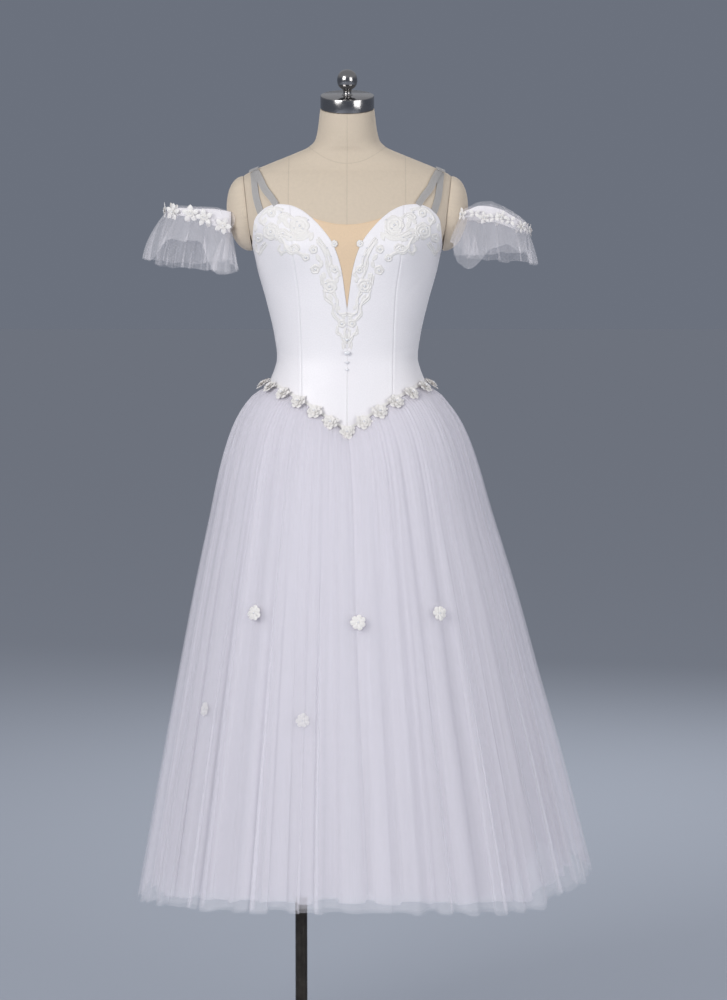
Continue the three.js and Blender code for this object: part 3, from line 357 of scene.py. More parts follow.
def inside_form(x, y, z):
    """Whether a place lies within the form: nearer the middle than the front and the back at its x and height."""
    half = read(z, FIGURE[:, 0], FIGURE[:, 1])
    turn = np.degrees(np.arcsin(np.clip(np.abs(x) / half, 0, 1) ** (SQUARENESS / 2)))
    return (half > np.abs(x)) & (y > figure(turn, z)[..., 1]) & (y < figure(180 - turn, z)[..., 1])


near, far = 0 * way, 0 * way + 0.09
for _ in range(24):
    middle = (near + far) / 2
    spot = shoulder + upright * (middle * np.sin(way))[:, None] + [0, 1.0, 0] * (middle * np.cos(way))[:, None]
    within = inside_form(spot[:, 0] - 0.0002, spot[:, 1], spot[:, 2])
    near, far = np.where(within, middle, near), np.where(within, far, middle)
oval = 1 / np.sqrt((np.cos(way) / 0.043) ** 2 + (np.sin(way) / 0.060) ** 2)
upper = np.clip((np.sin(way) + 0.25) / 0.5, 0, 1)
rim = oval + (near - oval) * upper**2 * (3 - 2 * upper)
for side, sign in [("left", -1), ("right", 1)]:
    cap = shoulder + plane * (0.0005 + 0.034 * np.sin(rise) ** 0.9)[..., None]
    cap = cap + upright * (rim * spread * np.sin(way))[..., None]
    cap = cap + np.array([0, 1, 0]) * (rim * spread * np.cos(way))[..., None]
    cap = cap * [sign, 1, 1]
    flat = np.stack([0.05 * spread * np.cos(way) + 0.5, 0.06 * spread * np.sin(way) + 0.5], -1)
    cad_name = f"form_shoulder_cap_{side}"
    new_piece(f"form_arm_cap_{side}", [cap], CANVAS, "form_canvas", [cad_name], maps=[flat], closed=True)

STEEL = steel()
plate_rows = [[0, 0.3], [42.5, 0.3], [43.5, 1.3], [43.5, 20], [42.8, 21.6], [41, 22.3], [0, 22.3]]
knob_rows = [[0, 22.6], [9, 22.6], [8.4, 23.2], [6.8, 25], [6.5, 28], [7.4, 31], [10.2, 33.2], [13.4, 36], [15.6, 40]]
knob_rows += [[16.5, 45], [16.2, 49.5], [15, 54], [12.4, 58.5], [9, 61.4], [4.8, 63.1], [0, 63.6]]
for kind, rows in [("plate", plate_rows), ("knob", knob_rows)]:
    spun = turned(rows)
    y, z = spun[..., 1].copy(), spun[..., 2].copy()
    spun[..., 1] = y * np.cos(NECK_LEAN) - z * np.sin(NECK_LEAN) - NECK_BACK
    spun[..., 2] = y * np.sin(NECK_LEAN) + z * np.cos(NECK_LEAN) + NECK_TOP
    new_piece(f"neck_steel_{kind}", [spun], STEEL, "neck_steel", [f"form_neck_{kind}"], closed=True)
for side, sign, height in [("left", -1, 1.4445), ("right", 1, 1.4485)]:
    radius = MM * np.array([0, 3.6, 3.6, 2.8, 0])[:, None]
    along = np.array([0.186, 0.186, 0.231, 0.2318, 0.2318])[:, None]
    way = np.linspace(0, 2 * np.pi, 33)
    peg = np.stack([sign * along + 0 * way, radius * np.cos(way), height + radius * np.sin(way)], -1)
    new_piece(f"arm_peg_{side}", [peg], STEEL, "neck_steel", [f"form_arm_peg_{side}"], closed=True)


# The bodice: eight panels of white stretch satin, joined by vertical seams, cut in two rounded cups over the front and
# down to a pointed basque line. Each panel is a cloth wall whose edges turn in at the seams.
BASQUE = np.array([[0, 1093], [10, 1111], [20, 1126.5], [30, 1138.5], [45, 1151], [60, 1160], [90, 1163], [180, 1162]])
# Columns: across, height, in mm, from the foot of the plunge over the cup to the underarm
CUP_EDGE = MM * np.array(
    [
        [0, 1289.5], [4.3, 1322], [8, 1348], [15, 1375], [24, 1396], [38, 1415], [56, 1434], [75, 1448], [94, 1455],
        [113, 1456.5], [129, 1452], [141, 1443], [150, 1430], [152.5, 1412], [154, 1398], [158, 1388], [175, 1383],
    ]
)
BACK_EDGE = MM * np.array([[0, 1368], [60, 1376], [110, 1382], [175, 1383]])
FRONT_SEAM = MM * np.array([[1060, 72], [1212, 73], [1300, 76], [1390, 87], [1480, 92]])
BACK_SEAM = MM * np.array([[1060, 62], [1212, 50], [1400, 66]])
BODICE_INSIDE, BODICE_FACE = 0.0005, 0.0027
# Soft creases where the satin pulls at the waist and under the cups: turn, height, half length in degrees, half
# height in mm, depth in mm, slope in mm per degree
CREASES = [
    (62, 1226, 22, 3.4, 0.7, 0.25), (74, 1207, 17, 2.8, 0.6, -0.2), (-66, 1219, 20, 3.2, 0.6, -0.3),
    (-80, 1203, 15, 2.6, 0.5, 0.15), (52, 1330, 9, 7.0, 0.6, 2.2), (-50, 1322, 8, 6.5, 0.5, -2.0),
    (118, 1215, 24, 3.4, 0.7, 0.2), (-122, 1224, 20, 3.2, 0.7, -0.15), (150, 1232, 16, 3.0, 0.5, 0.3),
]


def basque(turn):
    return read(np.abs((np.asarray(turn) + 540) % 360 - 180), BASQUE[:, 0], BASQUE[:, 1] * MM)


def turn_to(across, height):
    """The turn at which the form's front is that far across: the squared-off sine, turned round."""
    half = read(height, FIGURE[:, 0], FIGURE[:, 1])
    return np.degrees(np.arcsin(np.clip(across / half, 0, 1) ** (SQUARENESS / 2)))


def creased(turn, height):
    """How far the satin sinks: the sum of long soft troughs, each a bell across its length and across its line."""
    signed = (turn + 540) % 360 - 180
    sink = 0 * height
    for centre, level, length, width, depth, slope in CREASES:
        along = (signed - centre) / length
        off_line = (height / MM - level - slope * (signed - centre)) / width
        sink = sink + depth * MM * np.exp(-along * along) * np.exp(-off_line * off_line)
    return sink


def walled(outer, inner, wraps=False):
    """The grids of a cloth wall: the outside, the inside turned to face in, and a strip along each edge."""
    strips = [outer, inner[:, ::-1], np.stack([inner[0], outer[0]]), np.stack([outer[-1], inner[-1]])]
    if not wraps:
        strips.append(np.stack([inner[:, 0], outer[:, 0]], axis=1))
        strips.append(np.stack([outer[:, -1], inner[:, -1]], axis=1))
    return strips


def satin(name, colour, threads):
    """White stretch satin: a fine weave, faint clouds in its gloss and a soft sheen."""
    weave = {"Sheen_Weight": 0.25, "Sheen_Roughness": 0.4}
    made, tree, shader = woven_cloth(name, colour, 0.46, threads, 0.10, 0.0002, **weave)
    gloss = use_group(tree, BLOTCHES, Place=flat_map(tree), Scale=35.0, Low=0.40, High=0.52)
    tree.links.new(gloss.outputs["Value"], shader.inputs["Roughness"])
    return made


SATIN = satin("white_satin", (0.910, 0.880, 0.898), 1900.0)
clustered = 0.5 - 0.5 * np.cos(np.linspace(0, np.pi, 44))
rows_up = (0.5 - 0.5 * np.cos(np.linspace(0, np.pi, 96)))[:, None]


def panel_turn(kind, share, height):
    """The turn at a share of the way from a panel's inner seam to its outer one, at a height."""
    front = turn_to(read(height, FRONT_SEAM[:, 0], FRONT_SEAM[:, 1]), height)
    back = 180 - turn_to(read(height, BACK_SEAM[:, 0], BACK_SEAM[:, 1]), height)
    inner, outer = {
        "centre_front": (0.04 + 0 * height, front - 0.04),
        "side_front": (front + 0.04, 89.96 + 0 * height),
        "centre_back": (179.96 + 0 * height, back + 0.04),
        "side_back": (back - 0.04, 90.04 + 0 * height),
    }[kind]
    return inner + (outer - inner) * share


def panel_top(kind, share):
    """The height where each column meets the cut top edge, found by halving."""
    edge = CUP_EDGE if "front" in kind else BACK_EDGE
    low, high = 1.26 + 0 * share, 1.48 + 0 * share
    for _ in range(30):
        middle = (low + high) / 2
        point = body(panel_turn(kind, share, middle), middle, BODICE_FACE)
        above = middle > read(np.abs(point[..., 0]), edge[:, 0], edge[:, 1])
        low, high = np.where(above, low, middle), np.where(above, middle, high)
    return low


def cloth_area(grid, kept=...):
    """The area of a grid's kept cells: half the cross products of each cell's diagonals."""
    first, second = grid[1:, 1:] - grid[:-1, :-1], grid[1:, :-1] - grid[:-1, 1:]
    return float(np.linalg.norm(np.cross(first, second), axis=-1)[kept].sum() / 2)


for kind in ("centre_front", "side_front", "centre_back", "side_back"):
    share = clustered ** (1.5 if kind == "centre_front" else 1.0)
    foot = 1.12 + 0 * share
    for _ in range(12):
        foot = basque(panel_turn(kind, share, foot))
    height = foot + (panel_top(kind, share) - foot) * rows_up
    turn = panel_turn(kind, share, height)
    middle_line = body(turn, height, 0.0)
    steps = np.linalg.norm(np.diff(middle_line, axis=1), axis=-1)
    walked = np.concatenate([0 * steps[:, :1], np.cumsum(steps, axis=1)], axis=1)
    to_seam = np.minimum(walked, walked[:, -1:] - walked)
    to_edge = np.minimum(height - foot, height[-1] - height)
    seam_roll = np.where((kind == "centre_front") & (share < 0.5), 0.00012, 0.00038)
    roll = seam_roll * np.exp(-((to_seam / 0.0010) ** 2)) + 0.0008 * np.exp(-((to_edge / 0.0012) ** 2))
    puff = 0.00025 * np.exp(-(((to_seam - 0.0035) / 0.003) ** 2))
    for side, sign in [("left", -1), ("right", 1)]:
        outer = body(turn, height, BODICE_FACE - roll + puff - creased(sign * turn, height))
        inner = body(turn, height, BODICE_INSIDE)
        flat = np.stack([walked, height - 1.0], -1)
        wall, laid = walled(outer, inner), walled(flat, flat)
        if (kind in ("centre_back", "side_back")) != (sign < 0):
            wall = [grid[:, ::-1] for grid in wall]
            laid = [grid[:, ::-1] for grid in laid]
        wall = [grid * [sign, 1, 1] for grid in wall]
        name = f"bodice_{kind}_{side}"
        panel = new_piece(f"satin_{kind}_{side}", wall, SATIN, "bodice_satin", [name], maps=laid, closed=True)


# The insert behind the plunge: one layer of fine tan stretch mesh, sewn behind the cups, with a narrow elastic edge.
def reach_at(height):
    """How far across the plunge's edge is at a height, read back from the cup's edge."""
    return read(height, CUP_EDGE[:8, 1], CUP_EDGE[:8, 0])


SCOOP_MIDDLE, SCOOP_RISE, PLUNGE_FOOT, SEAM_GAP = 1.423, 0.0105, 1.2925, 0.0003
TAN = woven_cloth("tan_stretch_mesh", (0.780, 0.588, 0.400), 0.75, 1500.0, 0.2, 0.0002, Sheen_Weight=0.1)[0]
across = np.linspace(-1, 1, 49)
scoop = SCOOP_MIDDLE + SCOOP_RISE * across**2
height = PLUNGE_FOOT + (scoop - PLUNGE_FOOT) * np.linspace(0, 1, 60)[:, None]
x = across * (reach_at(height) - SEAM_GAP)
turn = np.sign(x) * turn_to(np.abs(x), height)
outer, inner = body(turn, height, 0.0015), body(turn, height, 0.0005)
flat = np.stack([x + 0.1, height - 1.0], -1)
wall, laid = walled(outer, inner), walled(flat, flat)
insert = new_piece("plunge_insert", wall, TAN, "plunge_mesh", ["bodice_plunge_mesh"], maps=laid, closed=True)


def tube(line, radius, around=10, ends=True):
    """Carries a circle along a line of points: each ring lies square to the line, and the ends close to a point."""
    ahead = np.gradient(line, axis=0)
    ahead /= np.linalg.norm(ahead, axis=-1, keepdims=True)
    helper = np.where(np.abs(ahead[:, 2:]) > 0.9, [1.0, 0, 0], [0, 0, 1.0])
    side = np.cross(ahead, helper)
    side /= np.linalg.norm(side, axis=-1, keepdims=True)
    up = np.cross(side, ahead)
    angle = np.linspace(0, 2 * np.pi, around + 1)[:, None, None]
    size = np.broadcast_to(radius, len(line)).astype(float).copy()[:, None]
    if ends:
        line, side, up = (np.concatenate([part[:1], part, part[-1:]]) for part in (line, side, up))
        size = np.concatenate([[[0]], size, [[0]]])
    ring = line + size * (np.cos(angle) * side + np.sin(angle) * up)
    return np.swapaxes(ring, 0, 1)


edge_x = np.linspace(-1, 1, 61) * (reach_at(SCOOP_MIDDLE + SCOOP_RISE) - 0.001)
edge_z = SCOOP_MIDDLE + SCOOP_RISE * np.linspace(-1, 1, 61) ** 2
edge_turn = np.sign(edge_x) * turn_to(np.abs(edge_x), edge_z)
edge_line = body(edge_turn, edge_z, 0.0012)
edge = tube(edge_line, 0.0008)
new_piece("plunge_insert_edge", [edge], TAN, "plunge_mesh", maps=[np.zeros(edge.shape[:2] + (2,))], closed=True)


# The lace on the cups: ivory motifs of roses, curls, leaves and vines, outlined with thick cord and sewn with pearls.
# It lies on the satin from the underarm down to a point under the plunge, the same on both sides but for small slips.
# Rows of ROSES: across, height, radius, pitch of the cord's spiral, turn of its start in radians, petals, in mm
ROSES = [
    (75, 1421, 16.0, 5.4, 0.4, 7), (120, 1413, 13.5, 5.0, 1.9, 6), (139, 1404, 7.5, 4.6, 3.1, 5),
    (119, 1442, 7.0, 4.0, 0.7, 6), (53, 1385, 6.6, 4.6, 4.6, 5), (66, 1372, 6.0, 4.2, 2.2, 5),
    (51, 1353, 7.8, 4.9, 5.6, 5), (19, 1353, 6.2, 4.4, 1.1, 5), (28, 1327, 11.5, 4.7, 3.7, 6),
    (7.6, 1267, 6.6, 4.2, 5.0, 5), (20, 1394, 5.4, 3.4, 0.0, 7),
]
# Corded lines, each through points across and up, in mm
VINES = [
    [(45, 1402), (38, 1393), (30, 1382), (26, 1370), (24, 1361), (13, 1350), (15, 1342)],
    [(47, 1398), (41, 1388), (35, 1377), (30, 1364), (28, 1350), (24, 1340)],
    [(62, 1408), (72, 1402), (84, 1402), (94, 1406), (104, 1409), (112, 1403)],
    [(61, 1412), (68, 1406), (80, 1405.5), (92, 1411), (100, 1416), (109, 1414)],
    [(104, 1404), (99, 1396), (97, 1388), (100, 1380), (108, 1384), (105, 1391)],
    [(97, 1389), (90, 1382), (82, 1381), (75, 1386), (80, 1392), (88, 1390)],
    [(82, 1384), (74, 1379), (70, 1377)],
    [(130, 1396), (136, 1388), (140, 1380), (146, 1386), (144, 1394)],
    [(101, 1447), (110, 1450), (122, 1450), (132, 1443), (137, 1433), (133, 1426)],
    [(86, 1434), (95, 1441), (104, 1440), (108, 1434), (101, 1430), (96, 1433)],
    [(37, 1320), (33, 1310), (26, 1303), (22, 1296), (22, 1286), (17, 1278), (13, 1273)],
    [(20, 1318), (17, 1306), (17, 1292), (14, 1284), (7, 1282), (1.5, 1284)],
    [(39, 1346), (38, 1338), (37, 1332)],
    [(15.5, 1262), (14, 1254), (9, 1248), (8, 1242), (4.2, 1237), (3.0, 1229)],
    [(2.0, 1259), (4.2, 1250), (2.6, 1243), (2.2, 1236)],
]
# Leaves: across, height, half length, half width, lean of its length from level in degrees
LEAVES = [
    (96, 1423, 8.0, 3.4, 60), (99, 1434, 6.0, 2.8, 10), (88, 1400, 7.5, 3.0, -8), (104, 1399, 6.5, 3.0, 40),
    (92, 1387, 7.0, 3.0, 20), (131, 1430, 6.0, 2.6, -60), (106, 1428, 5.5, 2.6, 120), (57, 1404, 7.0, 2.8, 115),
    (45, 1372, 6.5, 2.7, 60), (41, 1362, 5.5, 2.4, 100), (36, 1344, 5.0, 2.4, 75), (15, 1337, 5.0, 2.2, 85),
    (26, 1309, 6.0, 2.6, 60), (21, 1281, 5.0, 2.3, 70), (13, 1292, 4.6, 2.1, 60), (145, 1420, 6.0, 2.8, 95),
    (5.2, 1277, 3.6, 1.8, 40),
]
PEARLS = [(x, y, 1.9) for x, y, *_ in ROSES] + [
    (79, 1427, 1.4), (70, 1416, 1.4), (84, 1417, 1.3), (62, 1430, 1.3), (125, 1419, 1.4), (113, 1407, 1.3),
    (100, 1409, 1.3), (88, 1403, 1.3), (32, 1387, 1.3), (26, 1374, 1.3), (33, 1332, 1.4), (24, 1322, 1.4),
    (29, 1320, 1.2), (18, 1299, 1.2), (14, 1283, 1.2), (96, 1384, 1.2), (134, 1394, 1.3), (104, 1443, 1.3),
    (5.0, 1243, 1.2),
]
CORD_HALF, CORD_HIGH = 1.15, 1.5


def cord_height(distance, half=CORD_HALF, high=CORD_HIGH):
    """A half-round cord's height at a distance from its middle line, in mm."""
    return high * np.sqrt(np.clip(1 - (distance / half) ** 2, 0, None))


def rose_relief(s, h, x, y, radius, pitch, turn, petals):
    """A scalloped disc with a corded rim and a cord that winds in to its middle as an even spiral."""
    r, angle = np.hypot(s - x, h - y), np.arctan2(h - y, s - x) + turn
    edge = radius * (0.86 + 0.14 * np.abs(np.cos(petals * angle / 2)))
    winding = r / pitch - angle / (2 * np.pi)
    spiral = cord_height(np.abs(winding - np.round(winding)) * pitch, 1.0, 1.0)
    inside = r < edge - 1.4
    disc = np.where(inside, 0.45 + np.where(r > 1.5, spiral, 0), 0)
    return np.maximum(disc, cord_height(np.abs(r - edge + 1.1)))


def vine_relief(s, h, points):
    """A cord along a smooth curve through a few points, rounded at both ends."""
    points = np.array(points, float)
    places = np.linspace(0, len(points) - 1, 9 * len(points))
    line = np.stack([smooth_through(points[:, axis], places) for axis in (0, 1)], -1)
    best = np.full(s.shape, 99.0)
    for start, end in zip(line[:-1], line[1:]):
        along = end - start
        share = np.clip(((s - start[0]) * along[0] + (h - start[1]) * along[1]) / (along @ along), 0, 1)
        best = np.minimum(best, np.hypot(s - start[0] - share * along[0], h - start[1] - share * along[1]))
    return cord_height(best)


def smooth_through(values, places):
    """A curve through evenly spaced values, each stretch a cubic whose slopes come from the neighbours."""
    row = np.clip(places.astype(int), 0, len(values) - 2)
    padded = np.concatenate([[2 * values[0] - values[1]], values, [2 * values[-1] - values[-2]]])
    a, b, c, d = (padded[row + shift] for shift in range(4))
    t = places - row
    return b + t * ((c - a) / 2 + t * (a - 2.5 * b + 2 * c - d / 2 + t * (1.5 * (b - c) + (d - a) / 2)))


def leaf_relief(s, h, x, y, length, width, lean):
    """A pointed oval with a corded rim and a vein."""
    lean = np.radians(lean)
    u = (s - x) * np.cos(lean) + (h - y) * np.sin(lean)
    v = -(s - x) * np.sin(lean) + (h - y) * np.cos(lean)
    half = width * np.clip(1 - (u / length) ** 2, 0, None)
    inside = np.abs(v) < half
    veined = 0.4 + 0.5 * np.clip(1 - np.abs(v) / 0.7, 0, 1)
    rim = cord_height((np.abs(v) - half + 0.5) * (np.abs(u) < length), 0.9, 0.95) * (np.abs(u) < length)
    return np.maximum(np.where(inside, veined, 0), rim)


def ball(place, radius, rows=7, around=10):
    """A small ball as one closed grid."""
    up, way = np.linspace(-np.pi / 2, np.pi / 2, rows)[:, None], np.linspace(0, 2 * np.pi, around + 1)
    ring = np.stack([np.cos(up) * np.cos(way), np.cos(up) * np.sin(way), np.sin(up) + 0 * way], -1)
    return np.asarray(place) + radius * ring


silk = {"Sheen_Weight": 0.3, "Sheen_Roughness": 0.4}
LACE = woven_cloth("corded_ivory_lace", (0.885, 0.855, 0.825), 0.55, 1100.0, 0.3, 0.0003, **silk)[0]
PEARL = new_material("pearl", (0.80, 0.80, 0.82), 0.22, Coat_Weight=0.6, Coat_Roughness=0.08)[0]
s, h = np.meshgrid(np.arange(0.35, 152, 0.75), np.arange(1226, 1455, 0.75))
for side, sign in [("left", -1), ("right", 1)]:
    slip = np.random.default_rng(7 + sign).uniform(-0.9, 0.9, (60, 2))
    relief = 0 * s
    for (x, y, radius, pitch, turn, petals), (dx, dy) in zip(ROSES, slip):
        relief = np.maximum(relief, rose_relief(s, h, x + dx, y + dy, radius, pitch, turn + dx, petals))
    for points in VINES:
        relief = np.maximum(relief, vine_relief(s, h, points))
        echo = [(x + 3.1 * np.sin(0.9 * k + x), y - 2.9) for k, (x, y) in enumerate(points)]
        relief = np.maximum(relief, 0.7 * vine_relief(s, h, echo))
    for (x, y, length, width, lean), (dx, dy) in zip(LEAVES, slip[20:]):
        relief = np.maximum(relief, leaf_relief(s, h, x + dx, y + dy, length, width, lean + 8 * dx))
    turn, height = turn_to(s * MM, h * MM), h * MM
    cloth = body(turn, height, BODICE_FACE + 0.0001 + relief * MM) * [sign, 1, 1]
    flat, grids = np.stack([s * MM, h * MM - 1], -1), [cloth]
    near = np.maximum(np.maximum(relief[:-1, :-1], relief[1:, 1:]), np.maximum(relief[:-1, 1:], relief[1:, :-1]))
    net_area = cloth_area(body(turn, height, BODICE_FACE), near > 0.1)
    if sign < 0:
        cloth, flat, near = cloth[:, ::-1], flat[:, ::-1], near[:, ::-1]
    shown = {"maps": [flat], "kept": near.ravel() > 0.1, "sharp": 180}
    piece = new_piece(f"cup_lace_{side}", [cloth], LACE, "lace", [f"bodice_lace_{side}"], **shown)
    sewn = []
    for (x, y, radius), (dx, dy) in zip(PEARLS, slip):
        dx, dy = (dx, dy) if radius > 1.8 else (0, 0)
        place = body(turn_to((x + dx) * MM, (y + dy) * MM), (y + dy) * MM, BODICE_FACE + 0.0012) * [sign, 1, 1]
        sewn.append(ball(place, radius * MM))
    new_piece(f"cup_pearls_{side}", sewn, PEARL, "bead", [], closed=True)


# Four larger beads down the centre front, below the lace's point: the second is the largest.
for name, height, radius in [("top", 1241, 2.6), ("large", 1220, 4.4), ("third", 1204, 2.6), ("foot", 1192, 2.2)]:
    place = body(0.0, height * MM, BODICE_FACE + 0.0003 + 0.7 * radius * MM)
    bead = (ball([0, 0, 0], radius * MM, 13, 24) * [1.15, 0.7, 0.85]) + place
    new_piece(f"sewn_bead_{name}", [bead], PEARL, "bead", [f"front_bead_{name}"], closed=True)


# The skirt: many sheets of soft tulle, each gathered to the basque line and falling in folds to its own hem. They hang
# in nested groups that share their folds: two sheer ones outside, two between and two stiffer ones under them.
# Columns of BELL: the share of the length from the basque down, and how far out the cloth has come by there.
BELL = np.array([[0, 0], [0.026, 0.135], [0.09, 0.28], [0.28, 0.465], [0.62, 0.728], [1, 1]])
HEM = np.array(
    [
        [-180, 350], [-135, 334], [-90, 322], [-45, 347], [0, 362], [28, 352], [46, 344], [58, 358], [90, 366],
        [135, 360], [180, 350],
    ]
)
SKIRT_MIDDLE, SKIRT_HALF, SKIRT_FRONT, SKIRT_BACK = 0.029, 0.380, 0.322, 0.335
# The same share against depth: in front and behind, the cloth comes out more slowly below the waist
BELL_DEPTH = np.array([[0, 0], [0.026, 0.09], [0.09, 0.225], [0.28, 0.435], [0.62, 0.718], [1, 1]])
# The under sheets hang further in at the sides: turn, how far in at the hem, in mm
DRAWN_IN = [[-180, 0], [-125, 0], [-82, 20], [-40, 2], [15, 0], [50, 26], [80, 62], [112, 34], [150, 0], [180, 0]]
DRAWN_IN = np.array(DRAWN_IN)
# On the right side the skirt hangs closer above its knee line: the share of its length, and how much closer, in mm
RIGHT_PULL = [[0, 0], [0.04, 12], [0.1, 15], [0.2, 16.5], [0.3, 15], [0.45, 11], [0.6, 8.5], [0.75, 4], [1, 0]]
RIGHT_PULL = np.array(RIGHT_PULL)


def fold_counter(folds, phase, around):
    """For places round a gathered edge, from 0 to 1, how many folds lie before each. Whole numbers are troughs and
    halves are crests, and the folds are of uneven width."""
    number = np.arange(folds)
    start = np.concatenate([[0], np.cumsum(1 + 0.3 * np.sin(number * 2.4 + phase))])
    start /= start[-1]
    crest = start[:-1] + np.diff(start) * (0.5 + 0.14 * np.sin(number * 3.1))
    return np.interp(around, np.sort(np.concatenate([start, crest])), np.arange(2 * folds + 1) / 2)


def wander(around, waves, seed):
    """A smooth uneven line round a circle, about from -1 to 1: a few whole waves with chosen random phases."""
    random = np.random.default_rng(seed)
    total = 0 * around
    for wave in waves:
        total = total + random.uniform(0.6, 1.0) * np.sin(2 * np.pi * (wave * around + random.uniform()))
    return total / np.sqrt(len(waves))


def gathered(around, folds, phase, seed):
    """The shape of a gathered edge: how far each place moves round, in folds, and how far out, from -1 to 1. Folds
    bulge wider than their necks where the sideways move is strong, so that the cloth doubles over itself."""
    count = fold_counter(folds, phase, around)
    strength = np.clip(0.62 + 0.45 * wander(around, [5, 8, 13, 19], seed + 2), 0.12, 1.2)
    lean = 0.16 * wander(around, [7, 11, 16, 23], seed)
    bulge = 0.07 + 0.07 * wander(around, [5, 9, 13, 21], seed + 1)
    aside = bulge * np.sin(4 * np.pi * count) + lean * np.sin(2 * np.pi * count)
    return aside, -np.cos(2 * np.pi * count) * strength


def tulle(name, colour, cover, streak):
    """Soft tulle: a fine diamond net that is more open in some places than others, along the threads of the fall."""
    made, tree, shader = new_material(name, colour, 0.7, Sheen_Weight=0.2, Sheen_Roughness=0.5)
    place = flat_map(tree)
    net = use_group(tree, NET, Place=place, Cells=420.0, Cover=cover, Streak=streak)
    tinted(tree, shader, colour, net.outputs["Shade"])
    tree.links.new(net.outputs["Cover"], shader.inputs["Alpha"])
    return made


def net_group():
    """A diamond net: the larger of two crossing sets of ridges, thinned or thickened by long streaks down the cloth."""
    group, entry, leave = new_group(
        "tulle_net",
        [("Place", "Vector"), ("Cells", "Float"), ("Cover", "Float"), ("Streak", "Float")],
        [("Cover", "Float"), ("Shade", "Float")],
    )
    place, cells, open_share, streak = (entry.outputs[label] for label in ("Place", "Cells", "Cover", "Streak"))
    scaled = node(group, "ShaderNodeVectorMath", {0: place, "Scale": cells}, operation="SCALE").outputs[0]
    parts = node(group, "ShaderNodeSeparateXYZ", {0: scaled})
    ridges = []
    for way in ("ADD", "SUBTRACT"):
        slant = math(group, way, parts.outputs[0], parts.outputs[1])
        wave = math(group, "SINE", math(group, "MULTIPLY", slant, np.pi))
        ridges.append(math(group, "ABSOLUTE", wave))
    long_way = node(group, "ShaderNodeVectorMath", {0: place, 1: (44.0, 2.0, 1.0)}, operation="MULTIPLY")
    noise = node(group, "ShaderNodeTexNoise", {"Vector": long_way.outputs[0], "Scale": 1.0, "Detail": 3.0})
    centred = math(group, "SUBTRACT", noise.outputs["Fac"], 0.5)
    streaks = math(group, "MULTIPLY_ADD", centred, streak, 1.0)
    threads = ranged(group, math(group, "MAXIMUM", *ridges), 0.4, 1.0, 0.72, 1.16)
    factor = math(group, "MULTIPLY", streaks, threads)
    sockets = {0: factor, 1: open_share}
    cover = node(group, "ShaderNodeMath", sockets, operation="MULTIPLY", use_clamp=True)
    group.links.new(cover.outputs[0], leave.inputs["Cover"])
    group.links.new(ranged(group, factor, 0.6, 1.4, 0.94, 1.03), leave.inputs["Shade"])
    return group


NET = net_group()
OUTER_TULLE = tulle("sheer_outer_tulle", (0.905, 0.880, 0.934), 0.17, 0.55)
MIDDLE_TULLE = tulle("soft_middle_tulle", (0.905, 0.880, 0.934), 0.36, 0.45)
UNDER_TULLE = tulle("stiff_under_tulle", (0.885, 0.862, 0.915), 0.86, 0.3)
FOOT_HEIGHTS = {}
for facing, turn_line in [("front", np.linspace(0, 90, 91)), ("back", np.linspace(180, 90, 91))]:
    line = body(turn_line, basque(turn_line), BODICE_FACE)
    FOOT_HEIGHTS[facing] = (line[:, 0], basque(turn_line))

# Rows of LAYERS: folds, phase, inset, depth of the folds and lift of the hem in mm, share of DRAWN_IN, and the sheet's
# material and cad name. The folds, insets and depths of each group are those of the form under it.
LAYERS = [
    (48, 0.4, 0.0, 8.5, 0, 0.0, OUTER_TULLE, "skirt_tulle_outer"),
    (48, 0.4, 4.2, 8.2, 4, 0.05, OUTER_TULLE, "skirt_tulle_outer"),
    (34, 2.1, 21.0, 7.5, 12, 0.26, MIDDLE_TULLE, "skirt_tulle_middle"),
    (34, 2.1, 24.5, 7.2, 14, 0.36, MIDDLE_TULLE, "skirt_tulle_middle"),
    (26, 4.7, 42.0, 7.0, 17, 0.96, UNDER_TULLE, "skirt_tulle_under"),
    (26, 4.7, 46.5, 6.6, 20, 1.0, UNDER_TULLE, "skirt_tulle_under"),
]
POINTS_A_FOLD, SKIRT_ROWS = 30, 34


